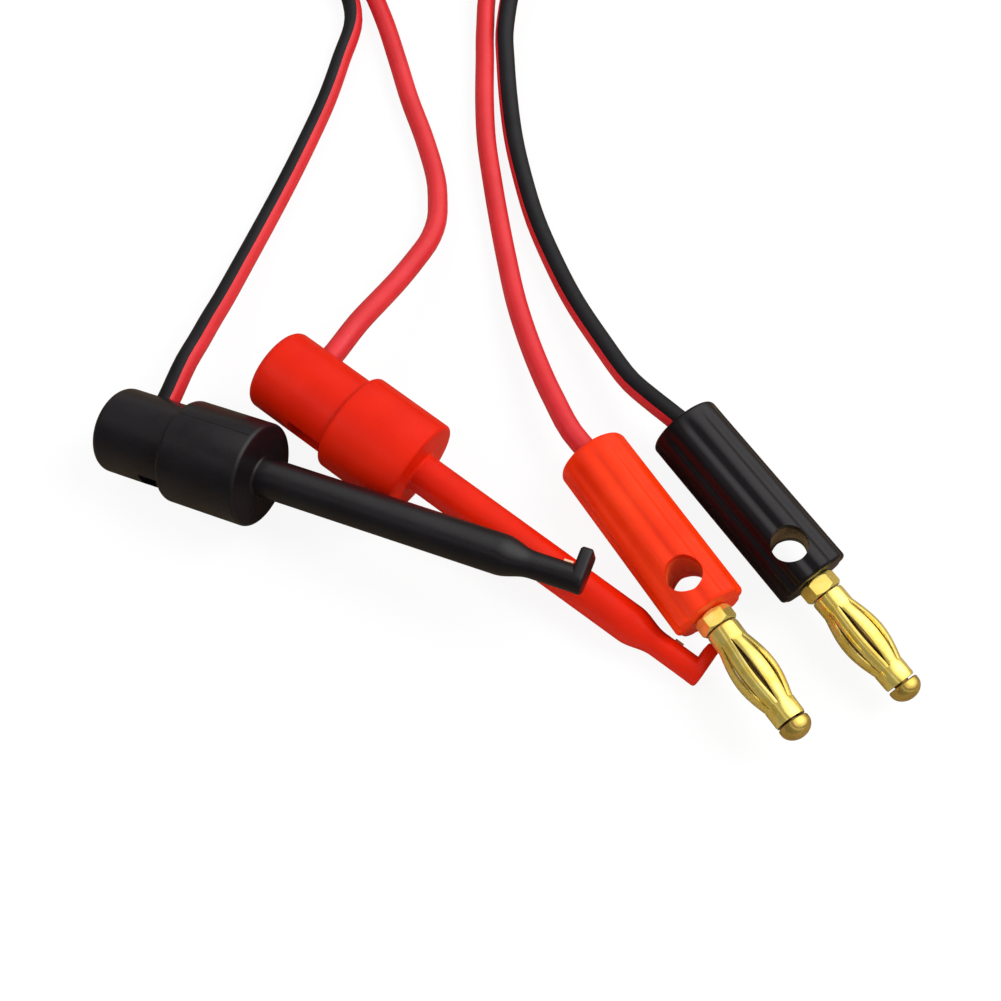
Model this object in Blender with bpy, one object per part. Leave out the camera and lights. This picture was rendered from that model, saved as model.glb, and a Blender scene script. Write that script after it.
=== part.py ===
"""Test lead: two sprung hook clips joined by a red and black twin wire to two stacking 4 mm plugs.

Every clip and plug is modelled along its own +X axis, nose first, and then laid on the floor by an empty.
Metres, +Z up. The origin is the middle of the clips' and plugs' footprint, on the floor.
"""
import math

import bmesh
import bpy
from mathutils import Matrix, Vector

MM = 0.001

# Clearances
SEAT_GAP = 0.15 * MM
SLIDE_GAP = 0.2 * MM
TOUCH_GAP = 0.3 * MM

# Wire and cord
WIRE_RADIUS = 1.3 * MM
CONDUCTOR_RADIUS = 0.7 * MM
TUBE_POINT_SPACING = 7.5 * MM
COIL_CENTRE = (-10.0 * MM, 117.0 * MM)
COIL_OUTER_TURN_RADIUS = 23.8 * MM
COIL_TURNS_PER_LAYER = 3.25
COIL_PITCH = 2.75 * MM
COIL_STACK = 4
COIL_STACK_PITCH = 2.95 * MM

# Clip barrel, measured forward from the front face of its collar
COLLAR_RADIUS = 5.9 * MM
COLLAR_LENGTH = 9.95 * MM
COLLAR_REAR_ROUND = 0.6 * MM
COLLAR_FRONT_ROUND = 0.45 * MM
COLLAR_FRONT_WALL = 1.6 * MM
STEM_ROOT_RADIUS = 2.24 * MM
STEM_ROOT_FILLET = 0.35 * MM
STEM_END_RADIUS = 2.2 * MM
STEM_LENGTH = 28.5 * MM
CONE_LENGTH = 3.7 * MM
NECK_RADIUS = 1.45 * MM
NECK_LENGTH = 4.2 * MM
FOOT_THICKNESS = 1.4 * MM
FOOT_REACH = 3.25 * MM
FOOT_HALF_WIDTH = 1.47 * MM
FOOT_ROUND = 0.6 * MM
FOOT_BEVEL = 0.35 * MM
SPRING_BORE_RADIUS = 1.35 * MM

# Clip grip, measured forward from its rear face
GRIP_RADIUS = 4.93 * MM
GRIP_LENGTH = 15.6 * MM
GRIP_REAR_ROUND = 0.9 * MM
GRIP_FRONT_CHAMFER = 0.4 * MM
GRIP_WALL = 1.2 * MM
GRIP_END_WALL = 1.7 * MM
GRIP_BOSS_RADIUS = 1.6 * MM
GRIP_BOSS_LENGTH = 0.9 * MM
WIRE_HOLE_FROM_END = 4.15 * MM
FAR_SLOT_FROM_END = 6.0 * MM
GRIP_FRONT_ROOM = 0.9 * MM

# Contact rod, its spring, bush and ferrule
ROD_RADIUS = 0.55 * MM
ROD_SOCKET_DEPTH = 1.5 * MM
JAW_LENGTH = 1.0 * MM
JAW_HALF_WIDTH = 0.5 * MM
JAW_PROUD = 0.1 * MM
JAW_CLOSED_GAP = 0.3 * MM
JAW_TRAVEL = 4.0 * MM
SPRING_SEAT_RADIUS = 1.1 * MM
SPRING_SEAT_THICKNESS = 0.8 * MM
SPRING_WIRE_RADIUS = 0.16 * MM
SPRING_RADIUS = 0.93 * MM
SPRING_CLOSED_LENGTH = 11.9 * MM
SPRING_TURNS = 9
BUSH_FLANGE_RADIUS = 2.8 * MM
BUSH_FLANGE_THICKNESS = 0.8 * MM
BUSH_NOSE_LENGTH = 2.3 * MM
FERRULE_RADIUS = 1.25 * MM
FERRULE_LENGTH = 2.6 * MM
FERRULE_CUP_RADIUS = 1.0 * MM
FERRULE_CUP_REACH = 2.3 * MM

# Plug, measured forward from the front face of its sleeve
SLEEVE_RADIUS = 4.2 * MM
SLEEVE_LENGTH = 22.7 * MM
SLEEVE_FLUTES = 10
SLEEVE_FLUTE_DEPTH = 0.19 * MM
SLEEVE_EDGE_ROUND = 0.45 * MM
SLEEVE_FRONT_WALL = 0.5 * MM
SLEEVE_BORE_RADIUS = 3.0 * MM
SLEEVE_BORE_DEPTH = 15.6 * MM
SIDE_SOCKET_RADIUS = 2.0 * MM
SIDE_SOCKET_FROM_FRONT = 4.1 * MM
CORE_LENGTH = 11.2 * MM
CORE_SOCKET_DEPTH = 0.7 * MM
CUP_RADIUS = 1.9 * MM
CUP_LENGTH = 3.4 * MM
PIN_FLANGE_ACROSS_FLATS = 3.7 * MM
PIN_FLANGE_START = 0.1 * MM
PIN_FLANGE_THICKNESS = 1.75 * MM
PIN_STUD_RADIUS = 0.85 * MM
PIN_ROOT_RADIUS = 1.2 * MM
BASKET_LENGTH = 11.6 * MM
BASKET_REAR_RADIUS = 1.85 * MM
BASKET_FRONT_RADIUS = 1.7 * MM
BASKET_BULGE_RADIUS = 2.5 * MM
BASKET_REAR_RING_LENGTH = 1.8 * MM
BASKET_FRONT_RING_LENGTH = 2.0 * MM
BASKET_SHEET = 0.35 * MM
BASKET_LEAVES = 8
BASKET_SLIT_SHARE = 0.09
CAP_RADIUS = 1.72 * MM
CAP_LENGTH = 1.75 * MM
CAP_SOCKET_DEPTH = 0.8 * MM

# Where each clip and plug lies, before the whole is centred: plan position of its reference face,
# heading clockwise from +X, nose up and roll in degrees
BLACK_CLIP_PLACE = (-26.16 * MM, -0.51 * MM, 22.65, 6.6, 8.0)
RED_CLIP_PLACE = (-8.99 * MM, 0.68 * MM, 36.27, -6.7, 3.0)
RED_PLUG_PLACE = (22.06 * MM, -15.99 * MM, 59.03, 2.6, 16.0)
BLACK_PLUG_PLACE = (33.7 * MM, -11.74 * MM, 55.19, -3.0, 17.8)
BLACK_GRIP_DRAWN = 0.0 * MM
RED_GRIP_DRAWN = 1.7 * MM

# Straight stretch of wire as it leaves the clip's grip or the plug's sleeve
WIRE_EXIT_STRAIGHT = 0.5 * MM

# Route points in mm of the loose stretches, from there to the coil, in the same plan frame
BLACK_CLIP_ROUTE = [(-37.4, 12.4, 6.2), (-36.6, 15.5, 5.7), (-35.7, 18.8, 5.0), (-34.9, 22.3, 4.2),
                    (-34.0, 25.8, 3.4), (-32.2, 32.9, 2.2), (-30.2, 39.9, 1.5), (-28.0, 46.8, 1.4),
                    (-25.9, 53.8, 1.4), (-23.9, 61.2, 1.4), (-22.4, 68.8, 1.4), (-21.1, 76.7, 1.4),
                    (-22.6, 83.5, 1.8), (-25.7, 90.2, 3.5), (-30.5, 97.5, 4.35), (-33.7, 104.6, 4.4)]
RED_CLIP_ROUTE = [(-18.2, 16.7, 8.0), (-17.3, 18.2, 7.9), (-16.3, 19.9, 7.5), (-15.4, 21.7, 7.0), (-14.4, 23.6, 6.4),
                  (-12.4, 27.5, 5.2), (-10.6, 31.5, 4.0), (-9.0, 35.5, 2.9), (-8.2, 39.4, 2.1), (-8.2, 43.2, 1.6),
                  (-8.5, 46.8, 1.4), (-10.2, 53.8, 1.4), (-12.5, 61.2, 1.4), (-14.5, 68.8, 1.4), (-16.7, 76.7, 1.4),
                  (-19.4, 84.0, 1.35), (-23.8, 91.3, 1.35), (-29.9, 98.0, 1.35), (-33.7, 104.6, 1.35)]
RED_PLUG_ROUTE = [(9.4, 4.5, 4.1), (8.0, 7.0, 4.1), (6.3, 11.3, 3.6), (5.2, 14.4, 3.2), (3.4, 20.5, 2.5),
                  (1.9, 26.9, 1.9), (0.8, 33.5, 1.5), (-0.2, 40.1, 1.4), (-1.1, 46.8, 1.4), (-1.9, 53.8, 1.4),
                  (-2.2, 61.2, 1.4), (-2.2, 68.8, 1.4), (-2.2, 74.7, 1.4), (-1.4, 83.5, 2.4), (2.8, 90.5, 4.3),
                  (9.6, 97.8, 6.5), (13.7, 104.6, 7.15)]
BLACK_PLUG_ROUTE = [(19.6, 7.4, 4.7), (18.3, 9.2, 4.4), (17.0, 11.0, 4.2), (15.1, 14.0, 3.8), (12.0, 20.2, 2.9),
                    (9.0, 26.8, 2.1), (6.6, 33.5, 1.5), (4.5, 40.1, 1.4), (3.0, 46.8, 1.4), (1.8, 53.8, 1.4),
                    (1.1, 61.1, 1.4), (0.7, 68.5, 1.6), (0.6, 73.9, 2.1), (2.4, 84.0, 4.7), (5.6, 91.0, 7.6),
                    (10.4, 98.0, 9.6), (13.7, 104.6, 10.2)]

BLACK_PLASTIC = ((0.018, 0.017, 0.019), 0.38, 0.0)
RED_PLASTIC = ((0.82, 0.045, 0.012), 0.36, 0.0)
BLACK_WIRE = ((0.02, 0.02, 0.022), 0.45, 0.0)
RED_WIRE = ((0.78, 0.045, 0.055), 0.4, 0.0)
GOLD = ((0.9, 0.68, 0.2), 0.2, 1.0)
BRASS = ((0.72, 0.53, 0.22), 0.3, 1.0)
COPPER = ((0.8, 0.42, 0.26), 0.28, 1.0)
STEEL = ((0.55, 0.55, 0.56), 0.3, 1.0)


def clear_scene():
    for old in list(bpy.data.objects):
        bpy.data.objects.remove(old, do_unlink=True)


def material(name, look):
    colour, roughness, metallic = look
    made = bpy.data.materials.get(name) or bpy.data.materials.new(name)
    made.use_nodes = True
    shader = made.node_tree.nodes["Principled BSDF"]
    shader.inputs["Base Color"].default_value = (*colour, 1.0)
    shader.inputs["Roughness"].default_value = roughness
    shader.inputs["Metallic"].default_value = metallic
    return made


def add_object(name, data, look, parent):
    made = bpy.data.objects.new(name, data)
    bpy.context.scene.collection.objects.link(made)
    made.parent = parent
    if look:
        data.materials.append(material(look[0], look[1]))
    return made


def add_mesh(name, mesh_maker, look, parent):
    mesh = bpy.data.meshes.new(name)
    bm = mesh_maker
    bmesh.ops.recalc_face_normals(bm, faces=bm.faces)
    bm.to_mesh(mesh)
    bm.free()
    mesh.shade_smooth()
    mesh.set_sharp_from_angle(angle=math.radians(35))
    return add_object(name, mesh, look, parent)


def empty(name, parent=None):
    made = bpy.data.objects.new(name, None)
    bpy.context.scene.collection.objects.link(made)
    made.parent = parent
    return made


def arc(centre_x, centre_r, radius, start_deg, end_deg, steps):
    """Points of a round in a turned profile; 0 degrees looks along +X and 90 away from the axis."""
    points = []
    for i in range(steps + 1):
        angle = math.radians(start_deg + (end_deg - start_deg) * i / steps)
        points.append((centre_x + radius * math.cos(angle), centre_r + radius * math.sin(angle)))
    return points


def turned(profile, segments, radius_at=None):
    """Surface of revolution about X of a profile whose ends are both on the axis, or of a closed ring."""
    bm = bmesh.new()
    on_axis = profile[0][1] == 0.0
    rings = []
    for x, r in profile:
        if r == 0.0:
            rings.append([bm.verts.new((x, 0.0, 0.0))])
            continue
        ring = []
        for i in range(segments):
            angle = 2 * math.pi * i / segments
            scale = radius_at(angle, x, r) if radius_at else r
            ring.append(bm.verts.new((x, scale * math.cos(angle), scale * math.sin(angle))))
        rings.append(ring)
    pairs = list(zip(rings, rings[1:]))
    if not on_axis:
        pairs.append((rings[-1], rings[0]))
    for first, second in pairs:
        for i in range(segments):
            j = (i + 1) % segments
            if len(first) == 1:
                bm.faces.new((first[0], second[i], second[j]))
            elif len(second) == 1:
                bm.faces.new((first[j], first[i], second[0]))
            else:
                bm.faces.new((first[j], first[i], second[i], second[j]))
    return bm


def block(low, high, bevel=0.0):
    bm = bmesh.new()
    bmesh.ops.create_cube(bm, size=1.0)
    size = Vector(high) - Vector(low)
    middle = (Vector(high) + Vector(low)) / 2
    bmesh.ops.scale(bm, vec=size, verts=bm.verts)
    bmesh.ops.translate(bm, vec=middle, verts=bm.verts)
    if bevel:
        bmesh.ops.bevel(bm, geom=list(bm.edges), offset=bevel, segments=2, profile=0.5, affect="EDGES")
    return bm


def rod_between(start, end, radius, segments):
    bm = bmesh.new()
    start = Vector(start)
    along = Vector(end) - start
    turn = along.to_track_quat("Z", "Y").to_matrix().to_4x4()
    place = Matrix.Translation(start + along / 2) @ turn
    bmesh.ops.create_cone(bm, cap_ends=True, segments=segments, radius1=radius, radius2=radius,
                          depth=along.length, matrix=place)
    return bm


def cut_or_join(target, tool_name, tool_maker, operation):
    tool = add_mesh(tool_name, tool_maker, None, target.parent)
    tool.hide_render = True
    tool.display_type = "WIRE"
    step = target.modifiers.new(tool_name, "BOOLEAN")
    step.operation = operation
    step.solver = "EXACT"
    step.object = tool
    return tool


def smooth_route(before, route, spacing):
    """Points a fixed distance apart on the smooth curve through the chosen route points, coming from before."""
    ends = [before] + route + [2 * route[-1] - route[-2]]
    fine = []
    steps = 12
    for a, b, c, d in zip(ends, ends[1:], ends[2:], ends[3:]):
        for i in range(steps):
            t = i / steps
            fine.append(0.5 * (2 * b + (c - a) * t + (2 * a - 5 * b + 4 * c - d) * t ** 2
                               + (3 * b - a - 3 * c + d) * t ** 3))
    fine.append(route[-1])
    lengths = [0.0]
    for a, b in zip(fine, fine[1:]):
        lengths.append(lengths[-1] + (b - a).length)
    count = max(2, round(lengths[-1] / spacing))
    result = []
    k = 0
    for i in range(count + 1):
        want = lengths[-1] * i / count
        while k < len(lengths) - 2 and lengths[k + 1] < want:
            k += 1
        share = (want - lengths[k]) / (lengths[k + 1] - lengths[k])
        result.append(fine[k].lerp(fine[k + 1], min(1.0, share)))
    return result


def wire_tube(name, base, exit_point, exit_direction, loose_points, look, parent):
    """Loose wire from its way out of a clip or plug, straight at first, to the coil."""
    place = base.matrix_local
    start = place @ Vector(exit_point)
    straight = place @ (Vector(exit_point) + Vector(exit_direction) * WIRE_EXIT_STRAIGHT)
    curve = bpy.data.curves.new(name, "CURVE")
    curve.dimensions = "3D"
    curve.bevel_depth = WIRE_RADIUS
    curve.bevel_resolution = 2
    curve.use_fill_caps = True
    route = [straight] + [Vector(p) * MM for p in loose_points]
    path = [start] + smooth_route(start, route, TUBE_POINT_SPACING)
    spline = curve.splines.new("POLY")
    spline.points.add(len(path) - 1)
    for point, where in zip(spline.points, path):
        point.co = (*where, 1.0)
    return add_object(name, curve, look, parent)


def coil_ring(name, look, parent):
    """Outer shape of the coiled twin wire: turns side by side in two layers of two."""
    outer = COIL_OUTER_TURN_RADIUS + WIRE_RADIUS
    inner = COIL_OUTER_TURN_RADIUS - COIL_TURNS_PER_LAYER * COIL_PITCH - WIRE_RADIUS
    top = (COIL_STACK - 1) * COIL_STACK_PITCH + 2 * WIRE_RADIUS
    bevel = WIRE_RADIUS / 2
    profile = [(0.0, inner + bevel), (0.0, outer - bevel), (bevel, outer), (top - bevel, outer),
               (top, outer - bevel), (top, inner + bevel), (top - bevel, inner), (bevel, inner)]
    ring = add_mesh(name, turned(profile, 40), look, parent)
    ring.matrix_local = Matrix.Translation((*COIL_CENTRE, 0.0)) @ Matrix.Rotation(-math.pi / 2, 4, "Y")
    return ring


def clip_barrel(name, look, parent):
    """Collar, tapered stem, cone and neck turned in one, with a slot for the jaw and the hook's foot."""
    bore = GRIP_RADIUS + SLIDE_GAP
    rod_bore = ROD_RADIUS + SEAT_GAP
    cone_start = STEM_LENGTH
    neck_start = cone_start + CONE_LENGTH
    foot_back = neck_start + NECK_LENGTH
    foot_front = foot_back + FOOT_THICKNESS
    seat_room = spring_seat_front(0.0) + SPRING_SEAT_THICKNESS
    blind_end = foot_back + FOOT_THICKNESS / 4
    profile = [(blind_end, 0.0), (blind_end, rod_bore), (seat_room, rod_bore), (seat_room, SPRING_BORE_RADIUS),
               (-COLLAR_FRONT_WALL, SPRING_BORE_RADIUS), (-COLLAR_FRONT_WALL, bore), (-COLLAR_LENGTH, bore)]
    profile += arc(-COLLAR_LENGTH + COLLAR_REAR_ROUND, COLLAR_RADIUS - COLLAR_REAR_ROUND, COLLAR_REAR_ROUND,
                   180, 90, 4)
    profile += arc(-COLLAR_FRONT_ROUND, COLLAR_RADIUS - COLLAR_FRONT_ROUND, COLLAR_FRONT_ROUND, 90, 0, 2)
    profile += arc(STEM_ROOT_FILLET, STEM_ROOT_RADIUS + STEM_ROOT_FILLET, STEM_ROOT_FILLET, 180, 270, 2)
    profile += [(cone_start, STEM_END_RADIUS)]
    drop = STEM_END_RADIUS - NECK_RADIUS
    for share in (0.25, 0.5, 0.75, 1.0):
        ease = (1 - math.cos(math.pi * share)) / 2
        profile.append((cone_start + CONE_LENGTH * share, STEM_END_RADIUS - drop * ease))
    end = foot_back + FOOT_THICKNESS / 2
    profile += [(end, NECK_RADIUS), (end, 0.0)]
    barrel = add_mesh(name, turned(profile, 28), look, parent)
    slot_half = JAW_HALF_WIDTH + SEAT_GAP
    slot_back = foot_back - JAW_CLOSED_GAP - JAW_LENGTH - JAW_TRAVEL - TOUCH_GAP
    cut_or_join(barrel, name + "_slot_cutter",
                block((slot_back, 0.0, -slot_half), (blind_end, 2 * NECK_RADIUS, slot_half)), "DIFFERENCE")
    cut_or_join(barrel, name + "_foot", hook_foot(foot_back, foot_front), "UNION")
    return barrel


def hook_foot(back, front):
    """Foot across the neck's end, round below like the neck and square above."""
    corner = FOOT_HALF_WIDTH - FOOT_ROUND
    top = FOOT_REACH - FOOT_ROUND
    bm = bmesh.new()
    rings = []
    for x, less in ((back, FOOT_BEVEL), (back + FOOT_BEVEL, 0.0), (front - FOOT_BEVEL, 0.0), (front, FOOT_BEVEL)):
        outline = arc(0.0, 0.0, FOOT_HALF_WIDTH - less, 90, 270, 14)
        outline += arc(top, -corner, FOOT_ROUND - less, 270, 360, 2)
        outline += arc(top, corner, FOOT_ROUND - less, 0, 90, 2)
        rings.append([bm.verts.new((x, y, z)) for y, z in outline])
    for first, second in zip(rings, rings[1:]):
        for i in range(len(first)):
            j = (i + 1) % len(first)
            bm.faces.new((first[j], first[i], second[i], second[j]))
    bm.faces.new(rings[0])
    bm.faces.new(rings[-1])
    return bm


def foot_back_face():
    return STEM_LENGTH + CONE_LENGTH + NECK_LENGTH


def bush_flange_back():
    return -COLLAR_FRONT_WALL - SEAT_GAP - BUSH_FLANGE_THICKNESS


def bush_nose_front():
    return BUSH_NOSE_LENGTH - COLLAR_FRONT_WALL - SEAT_GAP


def spring_seat_front(drawn):
    """Rear face of the rod's spring seat, where the spring pushes."""
    return bush_nose_front() + SPRING_CLOSED_LENGTH + 2 * SEAT_GAP - drawn


def clip_grip(name, look, parent, rear):
    """Rear cap: a tube with a closed end, a boss that holds the rod and a slot across it for the wire."""
    socket = ROD_RADIUS + SEAT_GAP
    boss_end = GRIP_END_WALL + GRIP_BOSS_LENGTH
    profile = [(0.0, 0.0)]
    profile += arc(GRIP_REAR_ROUND, GRIP_RADIUS - GRIP_REAR_ROUND, GRIP_REAR_ROUND, 180, 90, 4)
    profile += [(GRIP_LENGTH - GRIP_FRONT_CHAMFER, GRIP_RADIUS), (GRIP_LENGTH, GRIP_RADIUS - GRIP_FRONT_CHAMFER),
                (GRIP_LENGTH, GRIP_RADIUS - GRIP_WALL), (GRIP_END_WALL, GRIP_RADIUS - GRIP_WALL),
                (GRIP_END_WALL, GRIP_BOSS_RADIUS), (boss_end, GRIP_BOSS_RADIUS), (boss_end, socket),
                (boss_end - ROD_SOCKET_DEPTH, socket), (boss_end - ROD_SOCKET_DEPTH, 0.0)]
    profile = [(rear + x, r) for x, r in profile]
    grip = add_mesh(name, turned(profile, 28), look, parent)
    slot_half = WIRE_RADIUS + SEAT_GAP
    slot_start = rear + WIRE_HOLE_FROM_END - slot_half
    cut_or_join(grip, name + "_slot_cutter",
                block((slot_start, 0.0, -slot_half),
                      (rear + 2 * GRIP_LENGTH, 2 * GRIP_RADIUS, slot_half)), "DIFFERENCE")
    cut_or_join(grip, name + "_far_slot_cutter",
                block((rear + FAR_SLOT_FROM_END, -2 * GRIP_RADIUS, -slot_half),
                      (rear + 2 * GRIP_LENGTH, 0.0, slot_half)), "DIFFERENCE")
    return grip


def contact_rod(name, look, parent, rear, drawn):
    """Copper rod from the grip's boss to the jaw, with the collar that the spring pushes on."""
    start = rear + GRIP_END_WALL + GRIP_BOSS_LENGTH - ROD_SOCKET_DEPTH + SEAT_GAP
    seat = spring_seat_front(drawn)
    seat_end = seat + SPRING_SEAT_THICKNESS - SEAT_GAP
    jaw_front = foot_back_face() - JAW_CLOSED_GAP - drawn
    rod_end = jaw_front - JAW_LENGTH / 5
    profile = [(start, 0.0), (start, ROD_RADIUS), (seat, ROD_RADIUS), (seat, SPRING_SEAT_RADIUS),
               (seat_end, SPRING_SEAT_RADIUS), (seat_end, ROD_RADIUS), (rod_end, ROD_RADIUS), (rod_end, 0.0)]
    rod = add_mesh(name, turned(profile, 12), look, parent)
    jaw = block((jaw_front - JAW_LENGTH, -ROD_RADIUS / 2, -JAW_HALF_WIDTH),
                (jaw_front, NECK_RADIUS + JAW_PROUD, JAW_HALF_WIDTH))
    cut_or_join(rod, name + "_jaw", jaw, "UNION")
    return rod


def jaw_spring(name, look, parent, drawn):
    """Round wire helix between the bush and the rod's spring seat."""
    start = bush_nose_front() + SEAT_GAP + SPRING_WIRE_RADIUS
    end = spring_seat_front(drawn) - SEAT_GAP - SPRING_WIRE_RADIUS
    steps_per_turn, sides = 10, 5
    total = SPRING_TURNS * steps_per_turn
    bm = bmesh.new()
    rings = []
    for i in range(total + 1):
        angle = 2 * math.pi * i / steps_per_turn
        outward = Vector((0.0, math.cos(angle), math.sin(angle)))
        middle = outward * SPRING_RADIUS + Vector((start + (end - start) * i / total, 0.0, 0.0))
        ring = []
        for k in range(sides):
            turn = 2 * math.pi * k / sides
            offset = outward * math.cos(turn) + Vector((math.sin(turn), 0.0, 0.0))
            ring.append(bm.verts.new(middle + offset * SPRING_WIRE_RADIUS))
        rings.append(ring)
    for first, second in zip(rings, rings[1:]):
        for k in range(sides):
            j = (k + 1) % sides
            bm.faces.new((first[k], first[j], second[j], second[k]))
    bm.faces.new(rings[0])
    bm.faces.new(rings[-1])
    return add_mesh(name, bm, look, parent)


def spring_bush(name, look, parent):
    """Flanged bush in the collar's front wall that guides the rod and backs the spring."""
    back = bush_flange_back()
    shoulder = -COLLAR_FRONT_WALL - SEAT_GAP
    hole = ROD_RADIUS + SEAT_GAP
    profile = [(back, hole), (back, BUSH_FLANGE_RADIUS), (shoulder, BUSH_FLANGE_RADIUS),
               (shoulder, SPRING_BORE_RADIUS - SEAT_GAP), (bush_nose_front(), SPRING_BORE_RADIUS - SEAT_GAP),
               (bush_nose_front(), hole)]
    return add_mesh(name, turned(profile, 16), look, parent)


def solder_ferrule(name, look, parent, rear):
    """Sleeve crimped round the rod with a side cup for the wire's conductor."""
    middle = rear + WIRE_HOLE_FROM_END
    hole = ROD_RADIUS + SEAT_GAP
    half = FERRULE_LENGTH / 2
    profile = [(middle - half, hole), (middle - half, FERRULE_RADIUS), (middle + half, FERRULE_RADIUS),
               (middle + half, hole)]
    ferrule = add_mesh(name, turned(profile, 16), look, parent)
    cup = rod_between((middle, (hole + FERRULE_RADIUS) / 2, 0.0), (middle, FERRULE_CUP_REACH, 0.0),
                      FERRULE_CUP_RADIUS, 12)
    cut_or_join(ferrule, name + "_cup", cup, "UNION")
    cup_bottom = FERRULE_RADIUS + SEAT_GAP
    hollow = rod_between((middle, cup_bottom, 0.0), (middle, 2 * FERRULE_CUP_REACH, 0.0),
                         CONDUCTOR_RADIUS + SEAT_GAP, 12)
    cut_or_join(ferrule, name + "_cup_cutter", hollow, "DIFFERENCE")
    return ferrule


def wire_end_profile(tip, strip_end, end):
    """Bare conductor and insulation of a wire's end, turned about X."""
    return [(tip, 0.0), (tip, CONDUCTOR_RADIUS), (strip_end, CONDUCTOR_RADIUS), (strip_end, WIRE_RADIUS),
            (end, WIRE_RADIUS), (end, 0.0)]


def grip_wire_end(name, look, parent, rear):
    """Stripped end of the wire, soldered in the ferrule's cup and led out through the grip's slot."""
    middle = rear + WIRE_HOLE_FROM_END
    tip = FERRULE_RADIUS + 2 * SEAT_GAP
    bm = turned(wire_end_profile(tip, FERRULE_CUP_REACH + TOUCH_GAP, GRIP_RADIUS), 14)
    bmesh.ops.transform(bm, matrix=Matrix.Translation((middle, 0.0, 0.0)) @ Matrix.Rotation(math.pi / 2, 4, "Z"),
                        verts=bm.verts)
    return add_mesh(name, bm, look, parent)


def hook_clip(colour, plastic, wire_look, place, drawn, parent):
    x, y, heading, nose_up, roll = place
    base = empty(colour + "_clip_base", parent)
    rear = bush_flange_back() - GRIP_FRONT_ROOM - GRIP_LENGTH - drawn
    clip_barrel(colour + "_clip_barrel", plastic, base)
    clip_grip(colour + "_clip_grip", plastic, base, rear)
    contact_rod(colour + "_contact_rod", ("copper", COPPER), base, rear, drawn)
    jaw_spring(colour + "_jaw_spring", ("steel", STEEL), base, drawn)
    spring_bush(colour + "_spring_bush", ("brass", BRASS), base)
    solder_ferrule(colour + "_solder_ferrule", ("brass", BRASS), base, rear)
    grip_wire_end(colour + "_clip_wire_end", wire_look, base, rear)
    lay_down(base, x, y, heading, nose_up, roll)
    return base, (rear + WIRE_HOLE_FROM_END, GRIP_RADIUS + TOUCH_GAP, 0.0)


def flute(angle, x, r):
    """Radius of the sleeve's outside: shallow scallops between rounded ribs."""
    if r < SLEEVE_RADIUS - 2 * SLEEVE_EDGE_ROUND:
        return r
    return r - SLEEVE_FLUTE_DEPTH * (0.5 - 0.5 * math.cos(SLEEVE_FLUTES * angle))


def side_socket_tool(radius):
    reach = 2 * SLEEVE_RADIUS
    return rod_between((-SIDE_SOCKET_FROM_FRONT, 0.0, -reach), (-SIDE_SOCKET_FROM_FRONT, 0.0, reach), radius, 20)


def plug_sleeve(name, look, parent):
    wire_hole = WIRE_RADIUS + SLIDE_GAP
    root_hole = PIN_ROOT_RADIUS + SEAT_GAP
    profile = [(0.0, root_hole), (-SLEEVE_FRONT_WALL, root_hole), (-SLEEVE_FRONT_WALL, SLEEVE_BORE_RADIUS),
               (-SLEEVE_BORE_DEPTH, SLEEVE_BORE_RADIUS), (-SLEEVE_BORE_DEPTH, wire_hole), (-SLEEVE_LENGTH, wire_hole)]
    edge = SLEEVE_EDGE_ROUND
    profile += arc(-SLEEVE_LENGTH + edge, SLEEVE_RADIUS - edge, edge, 180, 90, 2)
    profile += arc(-edge, SLEEVE_RADIUS - edge, edge, 90, 0, 2)
    sleeve = add_mesh(name, turned(profile, 4 * SLEEVE_FLUTES, flute), look, parent)
    cut_or_join(sleeve, name + "_socket_cutter", side_socket_tool(SIDE_SOCKET_RADIUS), "DIFFERENCE")
    return sleeve


def core_front():
    return -SLEEVE_FRONT_WALL - SEAT_GAP


def plug_core(name, look, parent):
    """Brass body with the side socket across it, the pin's root in front and a solder cup behind."""
    radius = SLEEVE_BORE_RADIUS - SEAT_GAP
    front = core_front()
    back = front - CORE_LENGTH
    cup_back = back - CUP_LENGTH
    root = PIN_ROOT_RADIUS + SEAT_GAP
    cup_hollow = CONDUCTOR_RADIUS + SEAT_GAP
    profile = [(front - CORE_SOCKET_DEPTH, 0.0), (front - CORE_SOCKET_DEPTH, root), (front, root), (front, radius),
               (back, radius), (back, CUP_RADIUS), (cup_back, CUP_RADIUS), (cup_back, cup_hollow),
               (back, cup_hollow), (back, 0.0)]
    core = add_mesh(name, turned(profile, 24), look, parent)
    cut_or_join(core, name + "_socket_cutter", side_socket_tool(SIDE_SOCKET_RADIUS), "DIFFERENCE")
    return core


def plug_pin(name, look, parent):
    """Hexagonal flange, the root that is set in the core and the stud through the spring basket."""
    flange_end = PIN_FLANGE_START + PIN_FLANGE_THICKNESS
    root_back = core_front() - CORE_SOCKET_DEPTH + SEAT_GAP
    stud_end = basket_start() + BASKET_LENGTH + SLIDE_GAP + CAP_SOCKET_DEPTH - SEAT_GAP
    step = flange_end - PIN_FLANGE_THICKNESS / 2
    profile = [(root_back, 0.0), (root_back, PIN_ROOT_RADIUS), (step, PIN_ROOT_RADIUS), (step, PIN_STUD_RADIUS),
               (stud_end, PIN_STUD_RADIUS), (stud_end, 0.0)]
    pin = add_mesh(name, turned(profile, 16), look, parent)
    corner = PIN_FLANGE_ACROSS_FLATS / 2 / math.cos(math.pi / 6)
    chamfer = corner - PIN_FLANGE_ACROSS_FLATS / 2
    flats = [(PIN_FLANGE_START, 0.0), (PIN_FLANGE_START, corner - chamfer), (PIN_FLANGE_START + chamfer, corner),
             (flange_end - chamfer, corner), (flange_end, corner - chamfer), (flange_end, 0.0)]
    cut_or_join(pin, name + "_hex_flange", turned(flats, 6), "UNION")
    return pin


def basket_start():
    return PIN_FLANGE_START + PIN_FLANGE_THICKNESS + SLIDE_GAP


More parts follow.
